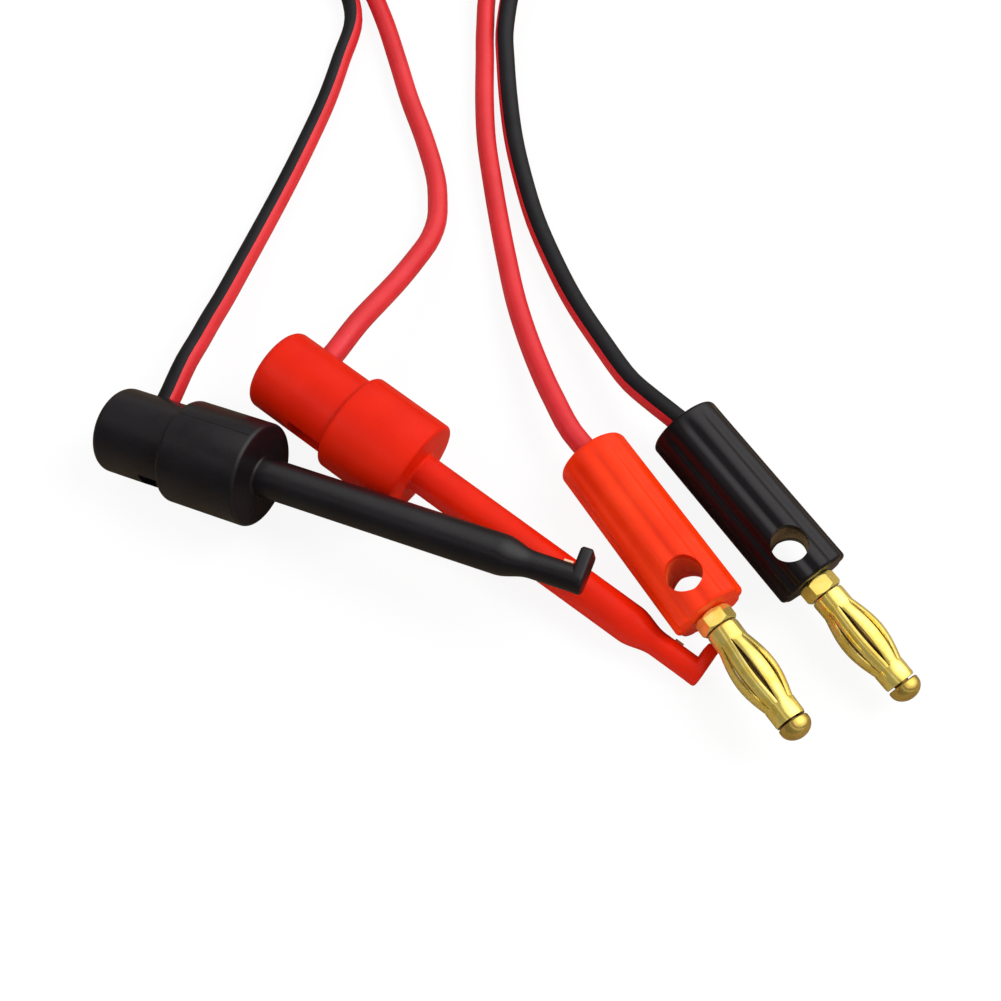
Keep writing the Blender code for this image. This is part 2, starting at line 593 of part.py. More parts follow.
def leaf_span():
    """Shares of the basket's length between which its leaves run from ring to ring."""
    return BASKET_REAR_RING_LENGTH / BASKET_LENGTH, 1 - BASKET_FRONT_RING_LENGTH / BASKET_LENGTH


def basket_radius(share):
    """Outside radius along the basket, from its rear ring over the bulge to its front ring."""
    straight = BASKET_REAR_RADIUS + (BASKET_FRONT_RADIUS - BASKET_REAR_RADIUS) * share
    first, last = leaf_span()
    if share <= first or share >= last:
        return straight
    return straight + (BASKET_BULGE_RADIUS - straight) * math.sin(math.pi * (share - first) / (last - first))


def spring_basket(name, look, parent):
    """Thin sheet cage: two rings joined by bowed leaves of even width, so the slits open towards the middle."""
    first, last_leaf = leaf_span()
    leaf_rows = 7
    shares = [0.0] + [first + (last_leaf - first) * i / leaf_rows for i in range(leaf_rows + 1)] + [1.0]
    stud_hole = PIN_STUD_RADIUS + SLIDE_GAP
    bm = bmesh.new()
    outer, inner = [], []
    for share in shares:
        x = basket_start() + BASKET_LENGTH * share
        outside = basket_radius(share)
        half_leaf = (1 - BASKET_SLIT_SHARE) / 2 * min(1.0, BASKET_REAR_RADIUS / outside)
        angles = [2 * math.pi * (k + part) / BASKET_LEAVES
                  for k in range(BASKET_LEAVES) for part in (-half_leaf, 0.0, half_leaf)]
        inside = max(stud_hole, outside - BASKET_SHEET)
        if share in (0.0, 1.0):
            inside = stud_hole
        for rows, radius in ((outer, outside), (inner, inside)):
            rows.append([bm.verts.new((x, radius * math.cos(a), radius * math.sin(a))) for a in angles])
    columns = len(angles)
    last = len(shares) - 1

    def open_cell(row, column):
        return column % 3 == 2 and 0 < row < last - 1

    for row in range(last):
        for column in range(columns):
            beside = (column + 1) % columns
            if open_cell(row, column):
                continue
            bm.faces.new((outer[row][beside], outer[row][column], outer[row + 1][column], outer[row + 1][beside]))
            bm.faces.new((inner[row][column], inner[row][beside], inner[row + 1][beside], inner[row + 1][column]))
            if open_cell(row, beside):
                bm.faces.new((outer[row][beside], outer[row + 1][beside], inner[row + 1][beside], inner[row][beside]))
            if open_cell(row, (column - 1) % columns):
                bm.faces.new((outer[row + 1][column], outer[row][column], inner[row][column], inner[row + 1][column]))
            if row == 0 or open_cell(row - 1, column):
                bm.faces.new((outer[row][column], outer[row][beside], inner[row][beside], inner[row][column]))
            if row == last - 1 or open_cell(row + 1, column):
                bm.faces.new((outer[row + 1][beside], outer[row + 1][column], inner[row + 1][column],
                              inner[row + 1][beside]))
    return add_mesh(name, bm, look, parent)


def pin_cap(name, look, parent):
    """Domed end of the pin, riveted on the stud in front of the basket."""
    back = basket_start() + BASKET_LENGTH + SLIDE_GAP
    hole = PIN_STUD_RADIUS + SEAT_GAP
    rim = CAP_RADIUS / 6
    profile = [(back + CAP_SOCKET_DEPTH, 0.0), (back + CAP_SOCKET_DEPTH, hole), (back, hole),
               (back, CAP_RADIUS - rim), (back + rim, CAP_RADIUS)]
    dome = CAP_LENGTH - rim
    for degrees in (20, 40, 60, 76):
        angle = math.radians(degrees)
        profile.append((back + rim + dome * math.sin(angle), CAP_RADIUS * math.cos(angle)))
    profile.append((back + CAP_LENGTH, 0.0))
    return add_mesh(name, turned(profile, 18), look, parent)


def sleeve_wire_end(name, look, parent):
    """Stripped end of the wire, soldered in the core's cup and led out through the sleeve's rear hole."""
    cup_bottom = core_front() - CORE_LENGTH
    strip_end = cup_bottom - CUP_LENGTH - TOUCH_GAP
    profile = wire_end_profile(cup_bottom - TOUCH_GAP, strip_end, -SLEEVE_LENGTH)
    return add_mesh(name, turned(profile, 14), look, parent)


def banana_plug(colour, plastic, wire_look, place, parent):
    x, y, heading, nose_up, roll = place
    base = empty(colour + "_plug_base", parent)
    plug_sleeve(colour + "_plug_sleeve", plastic, base)
    plug_core(colour + "_plug_core", ("brass", BRASS), base)
    plug_pin(colour + "_plug_pin", ("gold", GOLD), base)
    spring_basket(colour + "_spring_basket", ("gold", GOLD), base)
    pin_cap(colour + "_pin_cap", ("gold", GOLD), base)
    sleeve_wire_end(colour + "_plug_wire_end", wire_look, base)
    lay_down(base, x, y, heading, nose_up, roll)
    return base, (-SLEEVE_LENGTH - TOUCH_GAP, 0.0, 0.0)


def evaluated_bounds(objects):
    bpy.context.view_layer.update()
    graph = bpy.context.evaluated_depsgraph_get()
    low = Vector((math.inf,) * 3)
    high = Vector((-math.inf,) * 3)
    for item in objects:
        if item.type != "MESH" or item.hide_render:
            continue
        ready = item.evaluated_get(graph)
        for vertex in ready.data.vertices:
            place = ready.matrix_world @ vertex.co
            low = Vector(map(min, low, place))
            high = Vector(map(max, high, place))
    return low, high


def lay_down(base, x, y, heading, nose_up, roll):
    """Turns a clip or plug to its place and sets it down so that its lowest point meets the floor."""
    turn = (Matrix.Rotation(math.radians(-heading), 4, "Z") @ Matrix.Rotation(math.radians(-nose_up), 4, "Y")
            @ Matrix.Rotation(math.radians(roll), 4, "X"))
    base.matrix_local = Matrix.Translation((x, y, 0.0)) @ turn
    low, _ = evaluated_bounds(base.children)
    base.matrix_local = Matrix.Translation((x, y, -low.z)) @ turn
    bpy.context.view_layer.update()


def build():
    clear_scene()
    lead = empty("test_lead")
    items = empty("clips_and_plugs", lead)
    black_plastic = ("black_plastic", BLACK_PLASTIC)
    red_plastic = ("red_plastic", RED_PLASTIC)
    black_wire = ("black_wire", BLACK_WIRE)
    red_wire = ("red_wire", RED_WIRE)
    black_clip, black_clip_exit = hook_clip("black", black_plastic, black_wire, BLACK_CLIP_PLACE, BLACK_GRIP_DRAWN,
                                            items)
    red_clip, red_clip_exit = hook_clip("red", red_plastic, red_wire, RED_CLIP_PLACE, RED_GRIP_DRAWN, items)
    black_plug, black_plug_exit = banana_plug("black", black_plastic, black_wire, BLACK_PLUG_PLACE, items)
    red_plug, red_plug_exit = banana_plug("red", red_plastic, red_wire, RED_PLUG_PLACE, items)
    sideways = (0.0, 1.0, 0.0)
    backward = (-1.0, 0.0, 0.0)
    wire_tube("black_clip_tail", black_clip, black_clip_exit, sideways, BLACK_CLIP_ROUTE, black_wire, lead)
    wire_tube("red_clip_tail", red_clip, red_clip_exit, sideways, RED_CLIP_ROUTE, red_wire, lead)
    wire_tube("black_plug_tail", black_plug, black_plug_exit, backward, BLACK_PLUG_ROUTE, black_wire, lead)
    wire_tube("red_plug_tail", red_plug, red_plug_exit, backward, RED_PLUG_ROUTE, red_wire, lead)
    coil_ring("cord_coil", red_wire, lead)
    low, high = evaluated_bounds([o for base in items.children for o in base.children])
    middle = (low + high) / 2
    lead.location = (-middle.x, -middle.y, 0.0)
    bpy.context.view_layer.update()


build()
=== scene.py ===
"""Dressed model of the test lead: hook clips, stacking plugs and their wires, in metres."""
import math

import bmesh
import bpy
from mathutils import Matrix, Vector


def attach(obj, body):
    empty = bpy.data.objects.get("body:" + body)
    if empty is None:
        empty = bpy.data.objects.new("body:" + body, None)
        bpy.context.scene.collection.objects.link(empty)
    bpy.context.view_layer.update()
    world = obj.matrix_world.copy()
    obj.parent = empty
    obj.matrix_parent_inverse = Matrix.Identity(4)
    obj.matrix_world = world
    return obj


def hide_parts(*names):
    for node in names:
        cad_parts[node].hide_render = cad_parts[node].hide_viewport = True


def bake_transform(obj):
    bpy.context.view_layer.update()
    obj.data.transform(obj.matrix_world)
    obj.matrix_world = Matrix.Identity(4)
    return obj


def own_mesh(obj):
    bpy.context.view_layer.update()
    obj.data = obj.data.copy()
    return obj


MM = 0.001
CENTRING = Vector((0.966, 6.572, 0.0)) * MM

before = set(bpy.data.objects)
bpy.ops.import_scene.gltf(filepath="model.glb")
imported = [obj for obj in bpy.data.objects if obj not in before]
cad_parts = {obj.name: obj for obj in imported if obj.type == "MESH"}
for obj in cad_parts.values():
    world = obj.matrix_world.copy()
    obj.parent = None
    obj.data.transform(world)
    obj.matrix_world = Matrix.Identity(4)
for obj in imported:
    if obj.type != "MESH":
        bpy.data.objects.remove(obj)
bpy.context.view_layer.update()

# Sizes, most of them as in the solids
WIRE_RADIUS = 1.3 * MM
WIRE_EXIT_STRAIGHT = 0.15 * MM
WIRE_START_DEPTH = 0.6 * MM
WIRE_END_DEPTH = 0.8 * MM
WIRE_HOLE_CLEARANCE = 0.2 * MM
WIRE_SIDES = 24
COLLAR_RADIUS = 5.9 * MM
COLLAR_LENGTH = 9.95 * MM
COLLAR_REAR_ROUND = 0.6 * MM
COLLAR_FRONT_ROUND = 0.45 * MM
COLLAR_FRONT_WALL = 1.6 * MM
SEAM_REAR_GAP = 0.7 * MM
SEAM_FRONT_GAP = 0.6 * MM
SEAM_HALF_WIDTH = 0.05 * MM
SEAM_DEPTH = 0.1 * MM
SEAM_PROUD = 0.025 * MM
STEM_ROOT_RADIUS = 2.24 * MM
STEM_ROOT_FILLET = 0.35 * MM
STEM_END_RADIUS = 2.2 * MM
STEM_LENGTH = 28.5 * MM
CONE_LENGTH = 3.7 * MM
NECK_RADIUS = 1.45 * MM
NECK_LENGTH = 4.2 * MM
NECK_SLOT_LENGTH = 5.6 * MM
NECK_SLOT_HALF_WIDTH = 0.65 * MM
ROD_BORE_RADIUS = 0.7 * MM
ROD_BORE_INTO_FOOT = 0.35 * MM
SPRING_BORE_RADIUS = 1.35 * MM
SPRING_BORE_DEPTH = 13.55 * MM
FOOT_BACK = STEM_LENGTH + CONE_LENGTH + NECK_LENGTH
FOOT_THICKNESS = 1.4 * MM
FOOT_FRONT = FOOT_BACK + FOOT_THICKNESS
FOOT_REACH = 3.25 * MM
FOOT_HALF_WIDTH = 1.47 * MM
FOOT_ROUND = 0.6 * MM
FOOT_BEVEL = 0.35 * MM
NECK_INTO_FOOT = 0.7 * MM
GRIP_RADIUS = 4.93 * MM
GRIP_CLEARANCE = 0.2 * MM
GRIP_LENGTH = 15.6 * MM
GRIP_REAR_ROUND = 0.9 * MM
GRIP_FRONT_CHAMFER = 0.4 * MM
GRIP_WALL = 1.2 * MM
GRIP_END_WALL = 1.7 * MM
GRIP_BOSS_RADIUS = 1.6 * MM
GRIP_BOSS_END = 2.6 * MM
GRIP_BOSS_BORE_RADIUS = 0.7 * MM
GRIP_BOSS_BORE_START = 1.1 * MM
GRIP_EXPOSURE = 9.1 * MM
GRIP_SLOT_HALF_WIDTH = 1.45 * MM
WIRE_HOLE_FROM_END = 4.15 * MM
FAR_SLOT_FROM_END = 6.0 * MM
SLEEVE_RADIUS = 4.2 * MM
SLEEVE_LENGTH = 22.7 * MM
SLEEVE_FRONT_WALL = 0.5 * MM
SLEEVE_BORE_RADIUS = 3.0 * MM
SLEEVE_BORE_DEPTH = 15.6 * MM
SLEEVE_FLUTES = 10
SLEEVE_FLUTE_DEPTH = 0.3 * MM
SLEEVE_FLUTE_SHARPNESS = 2.0
SLEEVE_FLUTE_FADE = 2.5 * MM
SLEEVE_FLUTED_SKIN = 0.95 * MM
SLEEVE_EDGE_ROUND = 0.45 * MM
ROOT_HOLE_RADIUS = 1.35 * MM
SIDE_SOCKET_RADIUS = 2.0 * MM
SIDE_SOCKET_FROM_FRONT = 4.1 * MM
CORE_CLEARANCE = 0.15 * MM
CORE_RADIUS = 2.85 * MM
CORE_LENGTH = 11.2 * MM
CORE_RECESS = 0.7 * MM
CUP_RADIUS = 1.9 * MM
CUP_BORE_RADIUS = 0.85 * MM
CUP_LENGTH = 3.4 * MM
PIN_ROOT_RADIUS = 1.2 * MM
PIN_ROOT_DEPTH = 1.2 * MM
PIN_SHOULDER = 0.975 * MM
PIN_RADIUS = 0.85 * MM
PIN_LENGTH = 14.5 * MM
PIN_FLANGE_START = 0.1 * MM
PIN_FLANGE_END = 1.85 * MM
PIN_FLANGE_FACE = 0.05 * MM
PIN_FLANGE_MARGIN = 0.01 * MM
PIN_FLANGE_ACROSS_FLATS = 3.7 * MM
# Along the pin from here its faces take the dark gold, a painted shade inside the cage
PIN_PAINTED_SHADE_FROM = 1.95 * MM
BASKET_START = 2.05 * MM
BASKET_LENGTH = 11.6 * MM
BASKET_REAR_RADIUS = 1.85 * MM
BASKET_FRONT_RADIUS = 1.7 * MM
BASKET_BULGE_RADIUS = 2.5 * MM
BASKET_REAR_RING = 1.8 * MM
BASKET_FRONT_RING = 2.0 * MM
BASKET_SLIT_SHARE = 0.06
BASKET_INSIDE_RADIUS = 1.05 * MM
BASKET_END_ROUND = 0.08 * MM
# Cage faces deeper than this below its outside take the dark gold as painted shade
BASKET_PAINTED_SHADE_DEPTH = 0.25 * MM
BASKET_LEAVES = 8
LEAF_THICKNESS = 0.35 * MM
LEAF_CURL = 0.09 * MM
LEAF_ROWS = 30
LEAF_COLUMNS = 6
CAP_GAP = 0.2 * MM
CAP_RADIUS = 1.72 * MM
CAP_NECK_RADIUS = 1.0 * MM
CAP_RECESS = 0.8 * MM
CAP_EDGE_ROUND = 0.2 * MM
CAP_RIM = 0.4 * MM
CAP_DOME = 1.35 * MM
CAP_DOME_STEPS = 12
FLOOR_GAP = 0.00002
FLOOR_HALF_SIZE = 3.0
FLOOR_GLOW_SHARE = 0.9

# Facets round each kind of piece, and the angle from which an edge is drawn sharp
CLIP_FACETS = 72
SLEEVE_FACETS = 120
CORE_FACETS = 64
PIN_FACETS = 32
FINE_FACETS = 48
SHARP_ANGLE = math.radians(32)

# Where the clips and plugs lie: plan position, height, heading, nose up and roll in degrees
PLACES = {
    "black_clip": (-26.16, -0.51, 6.966, 22.65, 6.6, 8.0),
    "red_clip": (-8.99, 0.68, 5.827, 36.27, -6.7, 3.0),
    "red_plug": (22.06, -15.99, 5.202, 59.03, 2.6, 16.0),
    "black_plug": (33.7, -11.74, 4.171, 55.19, -3.0, 17.8),
}
DRAWN = {"black": 0.0, "red": 1.7 * MM}


def place_of(name):
    """Matrix that lays a clip or plug, modelled along X with its nose forward, in its place."""
    x, y, z, heading, nose_up, roll = PLACES[name]
    return (Matrix.Translation(Vector((x, y, z)) * MM + CENTRING)
            @ Matrix.Rotation(math.radians(-heading), 4, "Z")
            @ Matrix.Rotation(math.radians(-nose_up), 4, "Y")
            @ Matrix.Rotation(math.radians(roll), 4, "X"))


# Camera, looking down at 63 degrees
FRAME_PIXELS = 1001.0
FOCAL_PIXELS = 1180.0
SENSOR_WIDTH = 36.0
CAMERA_PLACE = Vector((0.0, -61.65, 121.0)) * MM
CAMERA_TILT = 27.0
camera_data = bpy.data.cameras.new("camera")
camera_data.lens = SENSOR_WIDTH * FOCAL_PIXELS / FRAME_PIXELS
camera_data.sensor_width = SENSOR_WIDTH
camera_data.clip_start = 0.01
camera_data.clip_end = 20.0
camera = bpy.data.objects.new("camera", camera_data)
bpy.context.scene.collection.objects.link(camera)
camera.location = CENTRING + CAMERA_PLACE
camera.rotation_euler = (math.radians(CAMERA_TILT), 0.0, 0.0)
bpy.context.scene.camera = camera

# Routes of the wires from the clips and plugs to the coil, in mm: place in plan, then height
COIL_CENTRE = Vector((-10.0, 117.0, 0.0)) * MM
COIL_OUTER = 23.8 * MM
COIL_PITCH = 2.75 * MM
BLACK_CLIP_ROUTE = [
    (-36.7, 15.1, 5.7), (-35.7, 18.8, 5.0), (-34.9, 22.3, 4.2), (-34.0, 25.8, 3.4), (-32.2, 32.9, 2.2),
    (-30.2, 39.9, 1.5), (-28.0, 46.8, 1.4), (-25.9, 53.8, 1.4), (-23.9, 61.2, 1.4), (-22.4, 68.8, 1.4),
    (-21.1, 76.7, 1.4), (-22.6, 83.5, 1.8), (-25.7, 90.2, 3.5), (-30.5, 97.5, 4.35), (-33.7, 104.6, 4.4)]
RED_CLIP_ROUTE = [
    (-16.7, 19.2, 7.7), (-15.4, 21.7, 7.0), (-14.4, 23.6, 6.4), (-12.4, 27.5, 5.2), (-10.6, 31.5, 4.0),
    (-9.0, 35.5, 2.9), (-8.2, 39.4, 2.1), (-8.2, 43.2, 1.6), (-8.5, 46.8, 1.4), (-10.2, 53.8, 1.4),
    (-12.5, 61.2, 1.4), (-14.5, 68.8, 1.4), (-16.7, 76.7, 1.4), (-19.4, 84.0, 1.35), (-23.8, 91.3, 1.35),
    (-29.9, 98.0, 1.35), (-33.7, 104.6, 1.35)]
RED_PLUG_ROUTE = [
    (8.0, 7.0, 4.1), (6.3, 11.3, 3.6), (5.2, 14.4, 3.2), (3.4, 20.5, 2.5), (1.9, 26.9, 1.9),
    (0.8, 33.5, 1.5), (-0.2, 40.1, 1.4), (-1.1, 46.8, 1.4), (-1.9, 53.8, 1.4), (-2.2, 61.2, 1.4),
    (-2.2, 68.8, 1.4), (-2.2, 74.7, 1.4), (-1.4, 83.5, 2.4), (2.8, 90.5, 4.3), (9.6, 97.8, 6.5),
    (13.7, 104.6, 7.15)]
BLACK_PLUG_ROUTE = [
    (17.2, 10.9, 4.8), (15.1, 14.0, 3.8), (12.0, 20.2, 2.9), (9.0, 26.8, 2.1), (6.6, 33.5, 1.5),
    (4.5, 40.1, 1.4), (3.0, 46.8, 1.4), (1.8, 53.8, 1.4), (1.1, 61.1, 1.4), (0.7, 68.5, 1.6),
    (0.6, 73.9, 2.1), (2.4, 84.0, 4.7), (5.6, 91.0, 7.6), (10.4, 98.0, 9.6), (13.7, 104.6, 10.2)]
WIRE_POINT_SPACING = 1.6 * MM
CURVE_STEPS = 12

# Coil: heights in mm, sweeps in degrees; each wire goes in at the low height and out at the high one
COIL_IN_ANGLE = 207.6
COIL_SWEEP = 235.2 + 360.0 * 6
COIL_STEPS = 120
COIL_LOW = 1.35
COIL_HIGH = 7.15
COIL_LEVEL_STEP = 3.05
COIL_CLIMB_SWEEP = 110.0
COIL_CLIMB_TUCK = 1.3 * MM
COIL_FLARE = 3.0 * MM
COIL_FLARE_TURNS = 0.2


def coil_points(level):
    """Middle line in the coil, two layers of turns; level is the wire's place in a layer, 0 or 1."""
    low = (COIL_LOW + COIL_LEVEL_STEP * level) * MM
    high = (COIL_HIGH + COIL_LEVEL_STEP * level) * MM
    points = []
    for i in range(1, COIL_STEPS):
        swept = COIL_SWEEP * i / COIL_STEPS
        turns_from_end = min(swept, COIL_SWEEP - swept) / 360.0
        radius = COIL_OUTER - COIL_PITCH * turns_from_end
        flare = max(0.0, 1.0 - turns_from_end / COIL_FLARE_TURNS)
        radius += COIL_FLARE * flare * flare
        climb = (swept - COIL_SWEEP / 2) / COIL_CLIMB_SWEEP + 0.5
        climb = min(1.0, max(0.0, climb))
        height = low + (high - low) * climb * climb * (3 - 2 * climb)
        radius -= COIL_CLIMB_TUCK * math.sin(math.pi * climb) ** 2
        angle = math.radians(COIL_IN_ANGLE - swept)
        points.append(COIL_CENTRE + Vector((radius * math.cos(angle), radius * math.sin(angle), height)))
    return points


def curve_point(a, b, c, d, share):
    """Point a share of the way from b to c on the smooth curve through four unevenly spaced points."""
    at_b = math.sqrt((b - a).length)
    at_c = at_b + math.sqrt((c - b).length)
    at_d = at_c + math.sqrt((d - c).length)
    here = at_b + (at_c - at_b) * share
    between = b.lerp(c, share)
    first = a.lerp(b, here / at_b).lerp(between, here / at_c)
    second = between.lerp(c.lerp(d, (here - at_c) / (at_d - at_c)), (here - at_b) / (at_d - at_b))
    return first.lerp(second, share)


def smooth_line(route, spacing):
    """Evenly spaced points on the smooth curve through the route points, and the curve's length."""
    ends = [2 * route[0] - route[1]] + route + [2 * route[-1] - route[-2]]
    fine = []
    for a, b, c, d in zip(ends, ends[1:], ends[2:], ends[3:]):
        for i in range(CURVE_STEPS):
            fine.append(curve_point(a, b, c, d, i / CURVE_STEPS))
    fine.append(route[-1])
    lengths = [0.0]
    for a, b in zip(fine, fine[1:]):
        lengths.append(lengths[-1] + (b - a).length)
    count = max(2, round(lengths[-1] / spacing))
    result = []
    k = 0
    for i in range(count + 1):
        want = lengths[-1] * i / count
        while k < len(lengths) - 2 and lengths[k + 1] < want:
            k += 1
        share = (want - lengths[k]) / (lengths[k + 1] - lengths[k])
        result.append(fine[k].lerp(fine[k + 1], min(1.0, share)))
    return result, lengths[-1]


# Materials
def material(name):
    made = bpy.data.materials.new(name)
    made.use_nodes = True
    nodes = made.node_tree.nodes
    return made, nodes, made.node_tree.links, nodes["Principled BSDF"]


NOISE_ROUGHNESS = 0.55
NOISE_LOW = 0.3
NOISE_HIGH = 0.7
PLASTIC_FLOW_SCALE = 140.0
PLASTIC_GLOSS_SCALE = 420.0
PLASTIC_SKIN_SCALE = 2600.0
PLASTIC_SKIN_DEPTH = 0.00004
METAL_TARNISH_SCALE = 600.0
METAL_POLISH_SCALE = 1500.0
METAL_GRAIN_SCALE = 4000.0
METAL_GRAIN_DEPTH = 0.00003


def noise(nodes, links, vector, scale, detail):
    made = nodes.new("ShaderNodeTexNoise")
    made.inputs["Scale"].default_value = scale
    made.inputs["Detail"].default_value = detail
    made.inputs["Roughness"].default_value = NOISE_ROUGHNESS
    links.new(vector, made.inputs["Vector"])
    return made.outputs["Fac"]


def ramp(nodes, links, factor, stops):
    made = nodes.new("ShaderNodeValToRGB")
    while len(made.color_ramp.elements) < len(stops):
        made.color_ramp.elements.new(0.5)
    for element, (position, colour) in zip(made.color_ramp.elements, stops):
        element.position = position
        element.color = (*colour, 1.0)
    links.new(factor, made.inputs["Fac"])
    return made.outputs["Color"]


def spread(nodes, links, factor, low, high):
    """Noise turned into values from low to high."""
    made = nodes.new("ShaderNodeMapRange")
    made.inputs["From Min"].default_value = NOISE_LOW
    made.inputs["From Max"].default_value = NOISE_HIGH
    made.inputs["To Min"].default_value = low
    made.inputs["To Max"].default_value = high
    links.new(factor, made.inputs["Value"])
    return made.outputs["Result"]


def bump(nodes, links, height, shader, strength, distance):
    made = nodes.new("ShaderNodeBump")
    made.inputs["Strength"].default_value = strength
    made.inputs["Distance"].default_value = distance
    links.new(height, made.inputs["Height"])
    links.new(made.outputs["Normal"], shader.inputs["Normal"])


def moulded(name, dark, light, rough_low, rough_high, grain, specular):
    """Moulded plastic: slight colour flow, uneven gloss and a fine orange-peel skin."""
    made, nodes, links, shader = material(name)
    vector = nodes.new("ShaderNodeTexCoord").outputs["Object"]
    flow = noise(nodes, links, vector, PLASTIC_FLOW_SCALE, 4.0)
    links.new(ramp(nodes, links, flow, [(0.32, dark), (0.68, light)]), shader.inputs["Base Color"])
    gloss = noise(nodes, links, vector, PLASTIC_GLOSS_SCALE, 5.0)
    links.new(spread(nodes, links, gloss, rough_low, rough_high), shader.inputs["Roughness"])
    shader.inputs["Specular IOR Level"].default_value = specular
    skin = noise(nodes, links, vector, PLASTIC_SKIN_SCALE, 3.0)
    bump(nodes, links, skin, shader, grain, PLASTIC_SKIN_DEPTH)
    return made


def metal(name, dark, light, rough_low, rough_high, grain, metallic=1.0):
    """Plated or turned metal with a fine grain and small tarnish."""
    made, nodes, links, shader = material(name)
    vector = nodes.new("ShaderNodeTexCoord").outputs["Object"]
    tarnish = noise(nodes, links, vector, METAL_TARNISH_SCALE, 5.0)
    links.new(ramp(nodes, links, tarnish, [(0.3, dark), (0.6, light)]), shader.inputs["Base Color"])
    polish = noise(nodes, links, vector, METAL_POLISH_SCALE, 4.0)
    links.new(spread(nodes, links, polish, rough_low, rough_high), shader.inputs["Roughness"])
    shader.inputs["Metallic"].default_value = metallic
    surface = noise(nodes, links, vector, METAL_GRAIN_SCALE, 2.0)
    bump(nodes, links, surface, shader, grain, METAL_GRAIN_DEPTH)
    return made


# Looks: darker and lighter colour, lowest and highest roughness, grain, and specular level or metallic share
PLASTICS = {
    "black_clip_plastic": ((0.0050, 0.0038, 0.0048), (0.0085, 0.0068, 0.0082), 0.26, 0.38, 0.25, 0.34),
    "black_plug_plastic": ((0.0038, 0.0026, 0.0037), (0.0066, 0.0050, 0.0064), 0.26, 0.36, 0.3, 0.24),
    "red_clip_plastic": ((0.60, 0.010, 0.0010), (0.69, 0.015, 0.0015), 0.28, 0.38, 0.25, 0.14),
    "red_plug_plastic": ((0.80, 0.027, 0.002), (0.90, 0.042, 0.004), 0.26, 0.36, 0.3, 0.18),
    "black_wire": ((0.0055, 0.0050, 0.0060), (0.0100, 0.0090, 0.0105), 0.4, 0.5, 0.35, 0.16),
    "red_wire": ((0.55, 0.015, 0.020), (0.63, 0.022, 0.028), 0.3, 0.4, 0.35, 0.4),
    # Orange-brown for the red plug's brass core: painted shade and painted red light bounced off the sleeve
    "red_socket": ((0.80, 0.11, 0.02), (0.90, 0.16, 0.035), 0.4, 0.5, 0.2, 0.1),
}
METALS = {
    "gold": ((0.90, 0.63, 0.09), (1.0, 0.80, 0.22), 0.09, 0.16, 0.15, 0.7),
    # Darker gold for the caps: painted shade and painted dark reflection of what the domes mirror
    "gold_cap_painted_shade": ((0.50, 0.33, 0.05), (0.72, 0.50, 0.12), 0.12, 0.22, 0.2, 0.8),
    # Dark gold: painted shade for the pin's shaft inside the cage and for the cage's inner faces
    "gold_painted_shade": ((0.16, 0.09, 0.03), (0.26, 0.16, 0.05), 0.3, 0.42, 0.15),
    "brass": ((0.50, 0.34, 0.12), (0.72, 0.54, 0.24), 0.24, 0.36, 0.2),
    # Dark brass for the black plug's core: painted shade in the cross hole
    "black_socket": ((0.30, 0.19, 0.07), (0.50, 0.34, 0.12), 0.24, 0.36, 0.2),
    "copper": ((0.72, 0.36, 0.2), (0.9, 0.55, 0.36), 0.18, 0.3, 0.2),
    # Near-black copper: painted shade for the red clip's rod, drawn back in its open slot
    "copper_painted_shade": ((0.10, 0.03, 0.015), (0.18, 0.06, 0.03), 0.3, 0.42, 0.2),
    "steel": ((0.42, 0.42, 0.43), (0.62, 0.62, 0.64), 0.22, 0.34, 0.2),
}
LOOKS = {name: moulded(name, *values) for name, values in PLASTICS.items()}
LOOKS.update({name: metal(name, *values) for name, values in METALS.items()})


# Shapes
def new_object(name, bm, looks, place):
    bm.transform(place)
    mesh = bpy.data.meshes.new(name)
    bmesh.ops.recalc_face_normals(bm, faces=bm.faces)
    bm.to_mesh(mesh)
    bm.free()
    mesh.shade_smooth()
    mesh.set_sharp_from_angle(angle=SHARP_ANGLE)
    made = bpy.data.objects.new(name, mesh)
    bpy.context.scene.collection.objects.link(made)
    for look in looks:
        mesh.materials.append(LOOKS[look])
    return made


def arc(centre_x, centre_r, radius, start_deg, end_deg, steps):
    """Points of an arc in a profile, as distances along and from the axis."""
    points = []
    for i in range(steps + 1):
        angle = math.radians(start_deg + (end_deg - start_deg) * i / steps)
        points.append((centre_x + radius * math.cos(angle), centre_r + radius * math.sin(angle)))
    return points


def turned(profile, segments, radius_at=None):
    """Surface of revolution about X of a profile whose ends are both on the axis, or of a closed ring."""
    bm = bmesh.new()
    on_axis = profile[0][1] == 0.0
    rings = []
    for x, r in profile:
        if r == 0.0:
            rings.append([bm.verts.new((x, 0.0, 0.0))])
            continue
        ring = []
        for i in range(segments):
            angle = 2 * math.pi * i / segments
            here = radius_at(angle, x, r) if radius_at else r
            ring.append(bm.verts.new((x, here * math.cos(angle), here * math.sin(angle))))
        rings.append(ring)
    pairs = list(zip(rings, rings[1:]))
    if not on_axis:
        pairs.append((rings[-1], rings[0]))
    for first, second in pairs:
        for i in range(segments):
            j = (i + 1) % segments
            if len(first) == 1:
                bm.faces.new((first[0], second[i], second[j]))
            elif len(second) == 1:
                bm.faces.new((first[j], first[i], second[0]))
            else:
                bm.faces.new((first[j], first[i], second[i], second[j]))
    return bm


def block(low, high):
    """Box between two opposite corners."""
    bm = bmesh.new()
    bmesh.ops.create_cube(bm, size=1.0)
    bmesh.ops.scale(bm, vec=Vector(high) - Vector(low), verts=bm.verts)
    bmesh.ops.translate(bm, vec=(Vector(high) + Vector(low)) / 2, verts=bm.verts)
    return bm


